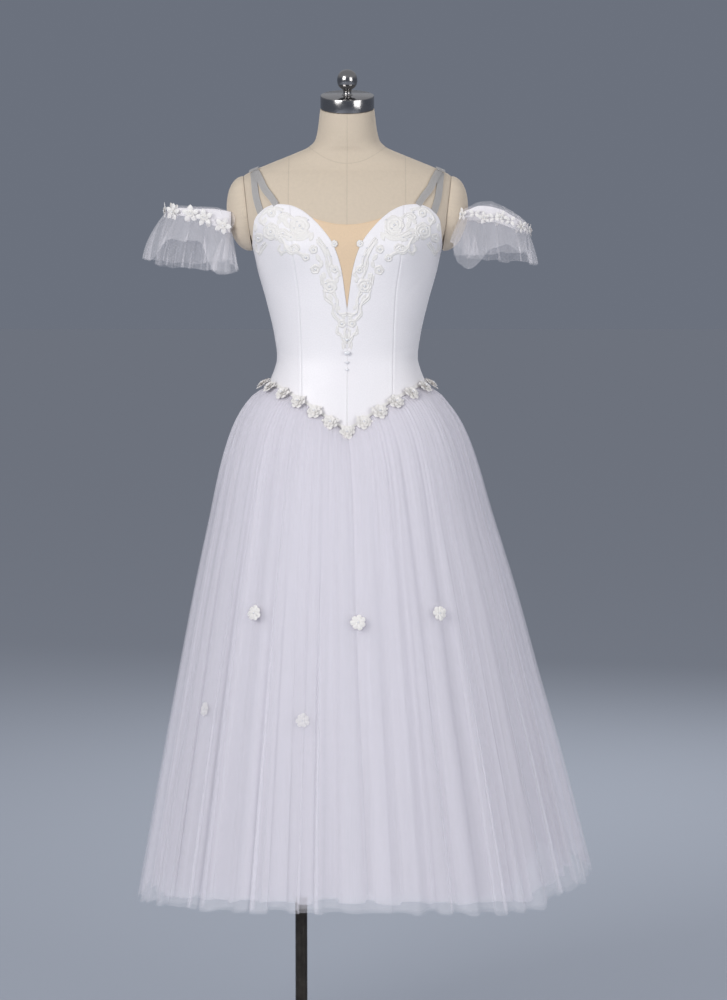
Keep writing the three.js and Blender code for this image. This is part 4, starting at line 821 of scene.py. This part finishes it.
def skirt_sheet(number, folds, phase, inset, depth, lift, drawn):
    """A gathered sheet: its top laps the satin's foot along the basque line, its hem is an oval on the floor plan, and
    between them it comes out by BELL. Big folds open towards the hem, and fine gathers fade away below the waist."""
    around = np.linspace(0, 1, POINTS_A_FOLD * folds + 1)
    share = (np.linspace(1, 0, SKIRT_ROWS) ** 1.6)[:, None]
    aside, wave = gathered(around, folds, phase, seed=folds)
    fine_aside, fine_wave = gathered(around, folds * 4 + 7, phase + number, seed=100 + number)
    fine_aside = fine_aside * (1 - 0.5 * share)
    patchy = np.clip(0.32 + 0.55 * wander(around, [6, 10, 15, 26], seed=200 + number), 0.0, 1.3)
    tight = 0.9 * np.exp(-(((share - 0.10) / 0.16) ** 2))
    drift = 0.9 * wander(around, [2, 3, 5, 8], seed=300 + number) * share * (1 - 0.3 * share)
    turn = 360 * around + aside * 360 / folds * (0.3 + 0.7 * share) + fine_aside * patchy * 360 / (folds * 4 + 7) * 0.45
    turn = turn + drift
    angle = np.radians(turn)
    facing_front = np.cos(angle) > 0
    seat = BODICE_FACE + 0.0001 + 0.00012 * (len(LAYERS) - 1 - number)
    top_turn = 360 * around
    top = body(top_turn, basque(top_turn), seat)
    for _ in range(4):
        across = np.abs(top[..., 0])
        level = np.where(
            np.cos(np.radians(top_turn)) > 0,
            np.interp(across, *FOOT_HEIGHTS["front"]),
            np.interp(across, *FOOT_HEIGHTS["back"]),
        )
        top = body(top_turn, level + 0.0012, seat)
    bell = read(share, BELL[:, 0], BELL[:, 1])
    inward = MM * (inset + depth * (1 - wave))
    inward = inward + MM * patchy * fine_wave * (1.1 - 0.6 * share)
    inward = inward - MM * 2.0 * wander(around, [3, 4, 7], seed=400 + folds)
    signed = (turn + 540) % 360 - 180
    inward = inward + MM * drawn * read(signed, DRAWN_IN[:, 0], DRAWN_IN[:, 1])
    hem_height = read(signed, HEM[:, 0], HEM[:, 1]) * MM + lift * MM
    hem_height = hem_height + MM * 2.2 * wander(around, [9, 17, 29, 41], seed=500 + number) - MM * 2.0 * wave
    deep = np.where(facing_front, SKIRT_FRONT, SKIRT_BACK)
    hem_x = SKIRT_MIDDLE + (SKIRT_HALF - inward) * np.sin(angle)
    hem_y = -(deep - inward) * np.cos(angle)
    x = top[:, 0] + (hem_x - top[:, 0]) * bell
    y = top[:, 1] + (hem_y - top[:, 1]) * read(share, BELL_DEPTH[:, 0], BELL_DEPTH[:, 1])
    z = top[:, 2] + (hem_height - top[:, 2]) * share
    x = x - read(share, RIGHT_PULL[:, 0], RIGHT_PULL[:, 1]) * MM * np.clip(np.sin(angle), 0, 1) ** 2
    gathers = MM * 1.1 * fine_wave * tight
    return np.stack([x - gathers * -np.sin(angle), y - gathers * np.cos(angle), z], -1)


for number, (*shape, material, cad_name) in enumerate(LAYERS):
    cloth = skirt_sheet(number, *shape)
    hem_length = np.linalg.norm(np.diff(cloth[0], axis=0), axis=-1).sum()
    drop = np.concatenate([[0], np.cumsum(np.linalg.norm(np.diff(cloth, axis=0), axis=-1).mean(axis=1))])
    flat = np.stack(np.broadcast_arrays(np.linspace(0, hem_length, cloth.shape[1]), drop[:, None]), -1)
    sheet = new_piece(f"skirt_sheet_{number + 1}", [cloth], material, "tulle", [cad_name], maps=[flat], sharp=180)


# The flower braid over the waist seam: a narrow tape with 23 ruffled ivory roses sewn side by side, small leaves
# between them and a pearl in each.
BRAID_FLOWERS, FLOWER_RADIUS = 23, 0.0118


def petals_disc(radius, petals, cup, lift, turn, rows=9, around=60):
    """A ruffled disc that faces +Z: its edge is a ring of rounded lobes, each domed and curled up at its rim."""
    share, angle = np.linspace(0, 1, rows)[:, None], np.linspace(0, 2 * np.pi, around + 1)[::-1]
    lobe = np.abs(np.cos(petals * angle / 2))
    reach = radius * (0.74 + 0.26 * lobe**0.55) * (1 + 0.05 * np.sin(3 * angle + turn))
    curl = cup * share**2 + 0.16 * radius * lobe * np.sin(np.pi * share)
    curl = curl + 0.05 * radius * np.sin(petals * 3 * angle + turn) * share**2
    across, up = reach * share * np.cos(angle + turn), reach * share * np.sin(angle + turn)
    return np.stack([across, up, lift + curl], -1)


def leaf_blade(length, width, turn, out, rows=7):
    """A small leaf that faces +Z: pointed at both ends, raised along its vein, lying out from the middle."""
    along = np.linspace(0, 1, 9)[:, None]
    side = np.linspace(1, -1, rows)
    x = out + length * along + 0 * side
    y = width * np.sin(np.pi * along) ** 0.8 * side
    z = 0.25 * width * (1 - np.abs(side)) * np.sin(np.pi * along) + 0.3 * width * along
    return np.stack([x * np.cos(turn) - y * np.sin(turn), x * np.sin(turn) + y * np.cos(turn), z], -1)


def set_on(grids, place, normal):
    """Carries grids to a place: their +Z turns to the normal, and their +Y stays as upright as it can."""
    normal = normal / np.linalg.norm(normal)
    right = np.cross([0, 0, 1.0], normal)
    right /= np.linalg.norm(right)
    axes = np.stack([right, np.cross(normal, right), normal])
    return [place + grid @ axes for grid in grids]


def lace_rose(radius, petals, turn, high):
    """Three petal rings, each smaller, higher and turned half a petal, with a pearl's seat at the middle."""
    return [
        petals_disc(radius, petals, 0.22 * high, 0.0, turn),
        petals_disc(0.74 * radius, petals, 0.45 * high, 0.24 * high, turn + np.pi / petals),
        petals_disc(0.46 * radius, petals - 1, 0.50 * high, 0.46 * high, turn + 0.4, rows=6, around=40),
    ]


fine_turn = np.linspace(0, 360, 721)
waist_line = body(fine_turn, basque(fine_turn), BODICE_FACE)
walked = np.concatenate([[0], np.cumsum(np.linalg.norm(np.diff(waist_line, axis=0), axis=-1))])
tape_rise = np.array([1.8, 3.4, 5.0, 6.6])[:, None] * MM
tape_face = body(fine_turn, basque(fine_turn) + tape_rise, BODICE_FACE + 0.0023)
tape_back = body(fine_turn, basque(fine_turn) + tape_rise, BODICE_FACE + 0.0010)
flat = np.stack(np.broadcast_arrays(walked, tape_rise), -1)
tape = new_piece(
    "waist_tape",
    walled(tape_face, tape_back, wraps=True),
    LACE,
    "lace",
    ["waist_flower_braid"],
    maps=walled(flat, flat, wraps=True),
    closed=True,
)
roses, centres, random = [], [], np.random.default_rng(11)
for number in range(BRAID_FLOWERS):
    share = number / BRAID_FLOWERS
    share -= 0.0125 * np.sin(2 * np.pi * share)
    turn = float(np.interp(share * walked[-1], walked, fine_turn))
    height = float(basque(turn))
    level = body(turn, height, 0.001) - body(turn, height, 0.0)
    sideways = np.sin(np.radians(turn)) ** 2
    facing = level / np.linalg.norm(level) + [0, 0, 0.34 + 0.55 * sideways]
    seat = body(turn, height - 0.001, BODICE_FACE + 0.0066 + 0.0018 * sideways)
    size = FLOWER_RADIUS * random.uniform(1.04, 1.12)
    made = lace_rose(size, 6, random.uniform(0, 6.3), 0.0062)
    made += [leaf_blade(0.0060, 0.0022, way, 0.0095) for way in random.uniform(-0.4, 0.4, 2) + [0.5, 2.6]]
    roses += set_on(made, seat, facing)
    centres += set_on([ball([0, 0, 0.0056], 0.0017)], seat, facing)
flower_maps = [grid[..., [0, 2]] for grid in roses]
braid = new_piece("waist_roses", roses, LACE, "lace", ["waist_flower_braid"], maps=flower_maps, sharp=180)
new_piece("waist_pearls", centres, PEARL, "bead", closed=True)


# Single flowers of lace: three across the front on the outermost sheet, two lower ones on the first middle sheet, which
# the sheer ones veil, and as many behind.
# Columns: turn from the front, height in mm, radius in mm
SKIRT_FLOWERS = [
    ("front_left", -36.2, 810, 12.4),
    ("front_middle", 0.5, 801, 12.4),
    ("front_right", 28.2, 813, 11.8),
    ("low_left", -58, 650, 11.4),
    ("low_middle", -17.4, 648, 11.4),
    ("back_left", -148, 819, 12.2),
    ("back_middle", 178, 808, 12.2),
    ("back_right", 149, 821, 12.0),
    ("back_low_left", -123, 659, 11.6),
    ("back_low_right", 163, 658, 11.6),
]
cloths = [skirt_sheet(number, *LAYERS[number][:6]) for number in (0, 2)]
discs, centres = [], []
for name, turn, height, radius in SKIRT_FLOWERS:
    outer_cloth = cloths["low" in name]
    row = int(np.argmin(np.abs(outer_cloth[:, 0, 2] - height * MM)))
    wraps_at = outer_cloth.shape[1] - 1
    column = int(round((turn % 360) / 360 * wraps_at))
    reach = wraps_at // 90
    columns = (column + np.arange(-reach, reach + 1)) % wraps_at
    patch = outer_cloth[row - 1 : row + 2][:, columns]
    normal = np.cross(patch[1, -1] - patch[1, 0], patch[-1, reach] - patch[0, reach])
    normal /= np.linalg.norm(normal)
    fall = outer_cloth[:, column]
    place = np.array([np.interp(height * MM, fall[:, 2], fall[:, axis]) for axis in range(3)])
    stands = (patch[1] - patch[1, reach]) @ normal
    place += normal * (stands.max() + 0.0004)
    facing = normal + random.uniform(-0.06, 0.06, 3)
    rose = [
        petals_disc(radius * MM, 7, 0.0004, 0.0004, turn, rows=9, around=84),
        petals_disc(0.62 * radius * MM, 6, 0.0008, 0.0012, turn + 0.5, rows=7, around=60),
    ]
    discs += set_on(rose, place, facing)
    centres += set_on([ball([0, 0, 0.0022], 0.0016)], place, facing)
disc_maps = [grid[..., [0, 2]] for grid in discs]
names = [f"skirt_flower_{name}" for name, *_ in SKIRT_FLOWERS]
sewn_discs = new_piece("skirt_lace_flowers", discs, LACE, "lace", names, maps=disc_maps, sharp=180)
new_piece("skirt_flower_pearls", centres, PEARL, "bead", closed=True)


# The straps: narrow ribbons of clear elastic, two in front and one behind on each side, that meet at a small clear
# loop on the shoulder. Each runs over the form between stations of x in mm and lift, 0 to the front, 90 up, 180 back.
STRAPS = [
    ("front_outer", 0.0009, [(136.5, 29.0), (141, 38), (146.5, 52), (151.5, 75)]),
    ("front_inner", 0.0022, [(112.5, 34.5), (121, 43), (133, 54), (148.5, 74.5)]),
    ("back", 0.0009, [(151, 78.5), (149, 100), (140, 125), (118, 160), (106, 184)]),
    ("loop", 0.0036, [(143, 75.2), (147, 75.8), (151, 76.2), (156.5, 76.4)]),
]
STRAP_HALF, STRAP_WALL, RIB_WIDE = 0.0048, 0.0010, 0.0012


CHEST_BACK, CHEST_HIGH = 0.008, 1.400


def surface_from(x, lift):
    """The figure's surface at one x on a ray that starts inside the chest, found by halving."""
    x, lift = np.broadcast_arrays(np.asarray(x, float), np.radians(lift))
    near, far = 0 * x, 0 * x + 0.16
    for _ in range(36):
        middle = (near + far) / 2
        inside = inside_form(x, CHEST_BACK - middle * np.cos(lift), CHEST_HIGH + middle * np.sin(lift))
        near, far = np.where(inside, middle, near), np.where(inside, far, middle)
    return np.stack([x, CHEST_BACK - near * np.cos(lift), CHEST_HIGH + near * np.sin(lift)], -1)


def elastic():
    """Clear elastic: half see-through, with fine ribs along its length."""
    colour = (0.52, 0.505, 0.495)
    made, tree, shader = new_material("clear_elastic", colour, 0.38, Coat_Weight=0.2)
    parts = node(tree, "ShaderNodeSeparateXYZ", {0: flat_map(tree)})
    ribs = math(tree, "SINE", math(tree, "MULTIPLY", parts.outputs[0], 2 * np.pi / RIB_WIDE))
    tree.links.new(ranged(tree, ribs, -1.0, 1.0, 0.52, 0.78), shader.inputs["Alpha"])
    tinted(tree, shader, colour, ranged(tree, ribs, -1.0, 1.0, 0.85, 1.1))
    bumped(tree, shader, ribs, 0.3, 0.0002)
    return made


ELASTIC = elastic()
for strap, seat, stations in STRAPS:
    stations = np.array(stations, float)
    places = np.linspace(0, len(stations) - 1, 50)
    x, lift = smooth_through(stations[:, 0], places) * MM, smooth_through(stations[:, 1], places)
    line = surface_from(x, lift)
    radius = np.linalg.norm(line[:, 1:] - [CHEST_BACK, CHEST_HIGH], axis=-1)
    along = np.stack([np.gradient(x), np.radians(np.gradient(lift)) * radius], -1)
    along /= np.linalg.norm(along, axis=-1, keepdims=True)
    width = np.linspace(-STRAP_HALF, STRAP_HALF, 7)
    px, pl = x[:, None] - width * along[:, 1:], lift[:, None] + np.degrees(width * along[:, :1] / radius[:, None])
    ribbon = surface_from(px, pl)
    side_way = surface_from(px + 0.0015, pl) - surface_from(px - 0.0015, pl)
    up_way = surface_from(px, pl + 1.5) - surface_from(px, pl - 1.5)
    normal = np.cross(side_way, up_way)
    normal /= np.linalg.norm(normal, axis=-1, keepdims=True)
    length = np.concatenate([[0], np.cumsum(np.linalg.norm(np.diff(line, axis=0), axis=-1))])
    flat = np.stack(np.broadcast_arrays(width, length[:, None]), -1)
    for side, sign in [("left", -1), ("right", 1)]:
        faces = [(ribbon + normal * out) * [sign, 1, 1] for out in (seat + STRAP_WALL, seat)]
        new_piece(
            f"elastic_{strap}_{side}",
            walled(*faces),
            ELASTIC,
            "strap_elastic",
            [f"strap_{strap}_{side}"] * (strap != "loop"),
            maps=walled(flat, flat),
            closed=True,
        )


# The armlets: a satin band round each peg and, gathered into its lower edge, a stiff sheer frill under a fuller one
# that stands out in soft lobes. A trim of lace leaves and small roses covers the seam.
# Rows of hem: turn from the outer side through the back, how far out the frill stands, how far it falls, in mm
ARMLETS = [
    (
        "left",
        -1,
        1453,
        6,
        100,
        [
            (0, 88, 92), (60, 80, 94), (110, 66, 86), (180, 42, 80), (203, 58, 84), (226, 96, 96), (242, 84, 104),
            (268, 76, 58), (305, 80, 56), (335, 86, 94), (360, 88, 92),
        ],
    ),
    (
        "right",
        1,
        1456,
        3,
        78,
        [
            (0, 62, 98), (60, 70, 92), (110, 64, 86), (180, 42, 74), (206, 70, 62), (221, 106, 54), (240, 90, 102),
            (262, 76, 72), (285, 72, 64), (305, 72, 76), (335, 74, 98), (360, 62, 98),
        ],
    ),
]
ARMLET_ACROSS, BAND_FLARE, BAND_WALL, SEAM_UP, FLARE_LONG, PUFF = 0.234, 0.0025, 0.0022, 0.004, 0.084, 0.8
# Each band is pressed out of round against the arm cap and arches over the peg. Columns: turn, the edge's distance from
# the middle, and how far the band's top, the frills' seam and the top frill's own upper edge lie down, in mm
BANDS = {
    "left": np.array(
        [
            [0, 54, 11, 13, 12], [30, 49, 7, 12, 4], [60, 39, 3, 14, 0], [90, 35, 2, 16, -2], [120, 41, 2, 20, -1],
            [150, 50, 3, 28, 1], [180, 37.5, 3, 30, 2], [205, 44, 3, 33, 2], [216, 56, 2.5, 32, 1],
            [240, 42, 1, 24, -2], [285, 36, 4, 14, 0], [320, 45, 5, 13, 1], [335, 50, 8, 13, 7],
            [360, 54, 11, 13, 12],
        ]
    ),
    "right": np.array(
        [
            [0, 54, 36, 46, 42], [30, 49, 26, 38, 20], [60, 39, 12, 28, 4], [90, 35, 4, 20, -4], [120, 41, 2, 18, -2],
            [150, 50, 5, 16, 3], [180, 37.5, 6, 14, 5], [205, 44, 6, 14, 5], [216, 56, 7, 14, 4],
            [228, 48, 3, 11, -1], [240, 42, 0, 17, -6.5], [265, 35.5, 2, 22, -7], [280, 36, 5, 20, -3],
            [298, 39, 10, 25, 3.5], [312, 44, 18, 32, 11], [335, 51, 28, 41, 26], [360, 54, 36, 46, 42],
        ]
    ),
}
# Columns of FRILLS: name, folds, phase, inset, fold depth and seat in mm
FRILLS = [("frill_under", 11, 1.3, 19, 4.5, 0.5), ("frill_top", 10, 3.2, 0, 6.5, 2.9)]
# Places round each trim, the size of its roses and the length of their pointed petals
TRIMS = {"left": (11, 0.0068, 0.0120), "right": (20, 0.0052, 0.0086)}
TOP_FRILL = tulle("soft_frill_tulle", (0.890, 0.862, 0.892), 0.21, 0.8)
UNDER_FRILL = tulle("sheer_frill_tulle", (0.880, 0.852, 0.882), 0.11, 0.9)


def band_line(side, turn):
    """Where a band lies: its edge's distance from the middle, its top, its seam and the frill's upper edge."""
    return [read(turn % 360, BANDS[side][:, 0], BANDS[side][:, column] * MM) for column in range(1, 5)]


def on_ring(sign, height, tilt, turn, along, radius):
    """A point of an armlet: turn goes round its axis from the outer side through the back, along goes down it."""
    tilt, turn = np.radians(tilt), np.radians(turn)
    down = np.array([sign * np.sin(tilt), 0, -np.cos(tilt)])
    outward = np.array([sign * np.cos(tilt), 0, np.sin(tilt)])
    turn, along, radius = np.broadcast_arrays(turn, along, radius)
    place = np.array([sign * ARMLET_ACROSS, 0, height * MM]) + along[..., None] * down
    return place + (radius * np.cos(turn))[..., None] * outward + (radius * np.sin(turn))[..., None] * [0, 1.0, 0]


for side, sign, height, tilt, under_length, hem in ARMLETS:
    hem = np.array(hem, float)
    around = np.linspace(0, 1, 121)
    share = np.array([0, 0.02, 0.06, 0.3, 0.7, 0.94, 0.98, 1])[:, None]
    edge, band_top, seam, _ = band_line(side, 360 * around)
    along = band_top + (seam + SEAM_UP - band_top) * share
    radius = edge + BAND_FLARE * share
    rounding = 0.0006 * np.exp(-np.minimum(share, 1 - share) / 0.03)
    flat = np.stack(np.broadcast_arrays(around * 0.29, along), -1)
    band = [on_ring(sign, height, tilt, 360 * around, along, radius + out) for out in (BAND_WALL - rounding, 0 * share)]
    if sign > 0:
        band = [grid[::-1] for grid in band]
    made = new_piece(
        f"band_satin_{side}",
        walled(*band, wraps=True),
        SATIN,
        "bodice_satin",
        [f"armlet_band_{side}"],
        maps=walled(flat, flat, wraps=True),
        closed=True,
    )

    for layer, folds, phase, inset, depth, seat in FRILLS:
        around = np.linspace(0, 1, 481)
        share = (np.linspace(0, 1, 20) ** 1.3)[:, None]
        if layer == "frill_top":
            share = np.concatenate([np.linspace(-1, 0, 8)[:-1, None], share])
        aside, wave = gathered(around, folds, phase, seed=folds + sign)
        fine_aside, fine_wave = gathered(around, folds * 5 + 3, phase, seed=60 + folds + sign)
        turn = 360 * (around + aside / folds * share + 0.5 * fine_aside / (folds * 5 + 3) * share)
        wrapped = turn % 360
        fall = read(wrapped, hem[:, 0], hem[:, 2]) if layer == "frill_top" else under_length + 0 * turn
        fall = fall + 2.0 * wander(around, [5, 9, 14], seed=70 + folds + sign)
        edge, _, seam, crown = band_line(side, wrapped)
        falling, heading = np.clip(share, 0, 1), np.clip(-share, 0, 1)
        puffed = np.maximum(seam - crown, 0.001)
        down_to = seam + (fall * MM - seam) * falling - puffed * np.sin(heading * np.pi / 2)
        flare = falling * (fall * MM - seam) / FLARE_LONG
        opened = np.sin(np.clip(flare, 0, 1) * np.pi / 2) ** PUFF
        out = read(wrapped, hem[:, 0], hem[:, 1]) - inset + depth * wave + 1.1 * fine_wave
        start = edge + BAND_FLARE + seat * MM + 0.0008 * fine_wave * np.exp(-8 * falling)
        start = start + puffed * (0.25 * np.sin(np.pi * heading) - 0.30 * heading**2)
        cloth = on_ring(sign, height, tilt, turn, down_to, start + (out * MM - start) * opened)
        if sign > 0:
            cloth = cloth[::-1]
        edge = cloth[-1] if sign < 0 else cloth[0]
        hem_length = float(np.linalg.norm(np.diff(edge, axis=0), axis=-1).sum())
        drop = np.concatenate([[0], np.cumsum(np.linalg.norm(np.diff(cloth, axis=0), axis=-1).mean(axis=1))])
        flat = np.stack(np.broadcast_arrays(around * hem_length, drop[:, None]), -1)
        material = TOP_FRILL if layer == "frill_top" else UNDER_FRILL
        name = f"armlet_{layer}_{side}"
        made = new_piece(f"sheer_{layer}_{side}", [cloth], material, "tulle", [name], maps=[flat], sharp=180)

    trim, centres = [], []
    random = np.random.default_rng(30 + sign)
    places, rose_size, petal_length = TRIMS[side]
    for number in range(places):
        turn = 360 * (number + random.uniform(-0.15, 0.15)) / places
        if 150 < turn < 210:
            continue
        edge, _, seam, _ = band_line(side, np.array(turn))
        along = seam - 0.0014 + random.uniform(-0.001, 0.001)
        face = edge + BAND_FLARE + 0.0044
        place = on_ring(sign, height, tilt, turn, along, face)
        edges = [band_line(side, np.array(turn + step))[0] for step in (-4, 4)]
        before, after = (on_ring(sign, height, tilt, turn + step, along, out) for step, out in zip((-4, 4), edges))
        normal = np.cross(after - before, [0, 0, 1.0]) * sign
        if number % 2 and places > 11:
            ways = random.uniform(-0.3, 0.3, 4) + [0.5, 2.5, 3.8, 5.6]
            ornament = [leaf_blade(0.0088, 0.0026, way, 0.0012) for way in ways]
            trim += set_on([grid + [0, 0, 0.0008] for grid in ornament], place, normal)
        else:
            rose = lace_rose(rose_size, 5, random.uniform(0, 6), 0.0030)
            start = random.uniform(0, 6.3)
            ways = start + 2 * np.pi * np.arange(5) / 5
            leaves = [leaf_blade(petal_length, petal_length / 3, way, 0.0025) for way in ways]
            trim += set_on([grid + [0, 0, 0.0008] for grid in rose + leaves], place, normal)
            centres += set_on([ball([0, 0, 0.0036], 0.0013)], place, normal)
    trim_maps = [grid[..., [0, 2]] for grid in trim]
    made = new_piece(f"armlet_trim_{side}", trim, LACE, "lace", [f"armlet_lace_{side}"], maps=trim_maps, sharp=180)
    new_piece(f"armlet_pearls_{side}", centres, PEARL, "bead", closed=True)


# The stage: a plain pale floor that reaches far out, soft studio lights and the camera of the photograph, which looks
# from 4.5 m in front and 1.35 m up, a little to the right, at the middle of the dress.
floor_mesh = bpy.data.meshes.new("floor")
far = 60.0
floor_mesh.from_pydata([(-far, -far, 0), (far, -far, 0), (far, far, 0), (-far, far, 0)], [], [(0, 1, 2, 3)])
floor_piece = bpy.data.objects.new("floor", floor_mesh)
bpy.context.scene.collection.objects.link(floor_piece)
floor_paint, tree, shader = new_material("pale_floor", (0.350, 0.380, 0.440), 0.9)
floor_mesh.materials.append(floor_paint)

world = bpy.data.worlds.new("studio")
bpy.context.scene.world = world
world.use_nodes = True
sky = world.node_tree
ray = node(sky, "ShaderNodeTexCoord").outputs["Generated"]
upward = node(sky, "ShaderNodeSeparateXYZ", {0: ray}).outputs[2]
rising = {"Value": upward, "From Min": 0.10, "From Max": 0.45}
lifted = node(sky, "ShaderNodeMapRange", rising, interpolation_type="SMOOTHSTEP")
tone = node(
    sky,
    "ShaderNodeMix",
    {"Factor": lifted.outputs["Result"], 6: (0.148, 0.166, 0.206, 1), 7: (0.41, 0.42, 0.45, 1)},
    data_type="RGBA",
)
sky.links.new(tone.outputs[2], sky.nodes["Background"].inputs["Color"])


def soft_light(name, place, target, size, watts, glossy=True):
    """A square soft box that faces a target point."""
    lamp = bpy.data.lights.new(name, "AREA")
    lamp.size, lamp.energy = size, watts
    holder = bpy.data.objects.new(name, lamp)
    holder.location = place
    direction = Vector(target) - Vector(place)
    holder.rotation_mode = "QUATERNION"
    holder.rotation_quaternion = direction.to_track_quat("-Z", "Y")
    holder.visible_glossy = glossy
    bpy.context.scene.collection.objects.link(holder)


soft_light("key_box", (-2.6, -3.6, 2.5), (0, 0, 1.0), 2.2, 124)
soft_light("fill_box", (3.0, -3.2, 1.8), (0, 0, 1.0), 2.2, 62)
soft_light("back_box", (0.8, 3.2, 3.0), (0, 0, 1.1), 2.0, 70, glossy=False)

CAMERA_DISTANCE, CAMERA_HEIGHT, MIDDLE_HEIGHT = 4.5, 1.35, 0.976
MM_PER_PIXEL = 1.64 * MM
SENSOR_WIDE = 36
# In pixels: the photograph's height, its middle and the form's middle in it
PHOTO_HIGH, PHOTO_MIDDLE, FORM_MIDDLE = 1000, 363.5, 347.5
pitch = np.arctan((CAMERA_HEIGHT - MIDDLE_HEIGHT) / CAMERA_DISTANCE)
pixels_focal = CAMERA_DISTANCE / np.cos(pitch) / MM_PER_PIXEL
camera_data = bpy.data.cameras.new("camera")
camera_data.sensor_width = SENSOR_WIDE
camera_data.lens = pixels_focal * SENSOR_WIDE / PHOTO_HIGH
camera = bpy.data.objects.new("camera", camera_data)
camera.location = ((PHOTO_MIDDLE - FORM_MIDDLE) * MM_PER_PIXEL, -CAMERA_DISTANCE, CAMERA_HEIGHT)
camera.rotation_euler = (np.pi / 2 - pitch, 0, 0)
bpy.context.scene.collection.objects.link(camera)
bpy.context.scene.camera = camera
bpy.context.scene.view_settings.view_transform = "Standard"
bpy.context.scene.cycles.transparent_max_bounces = 48
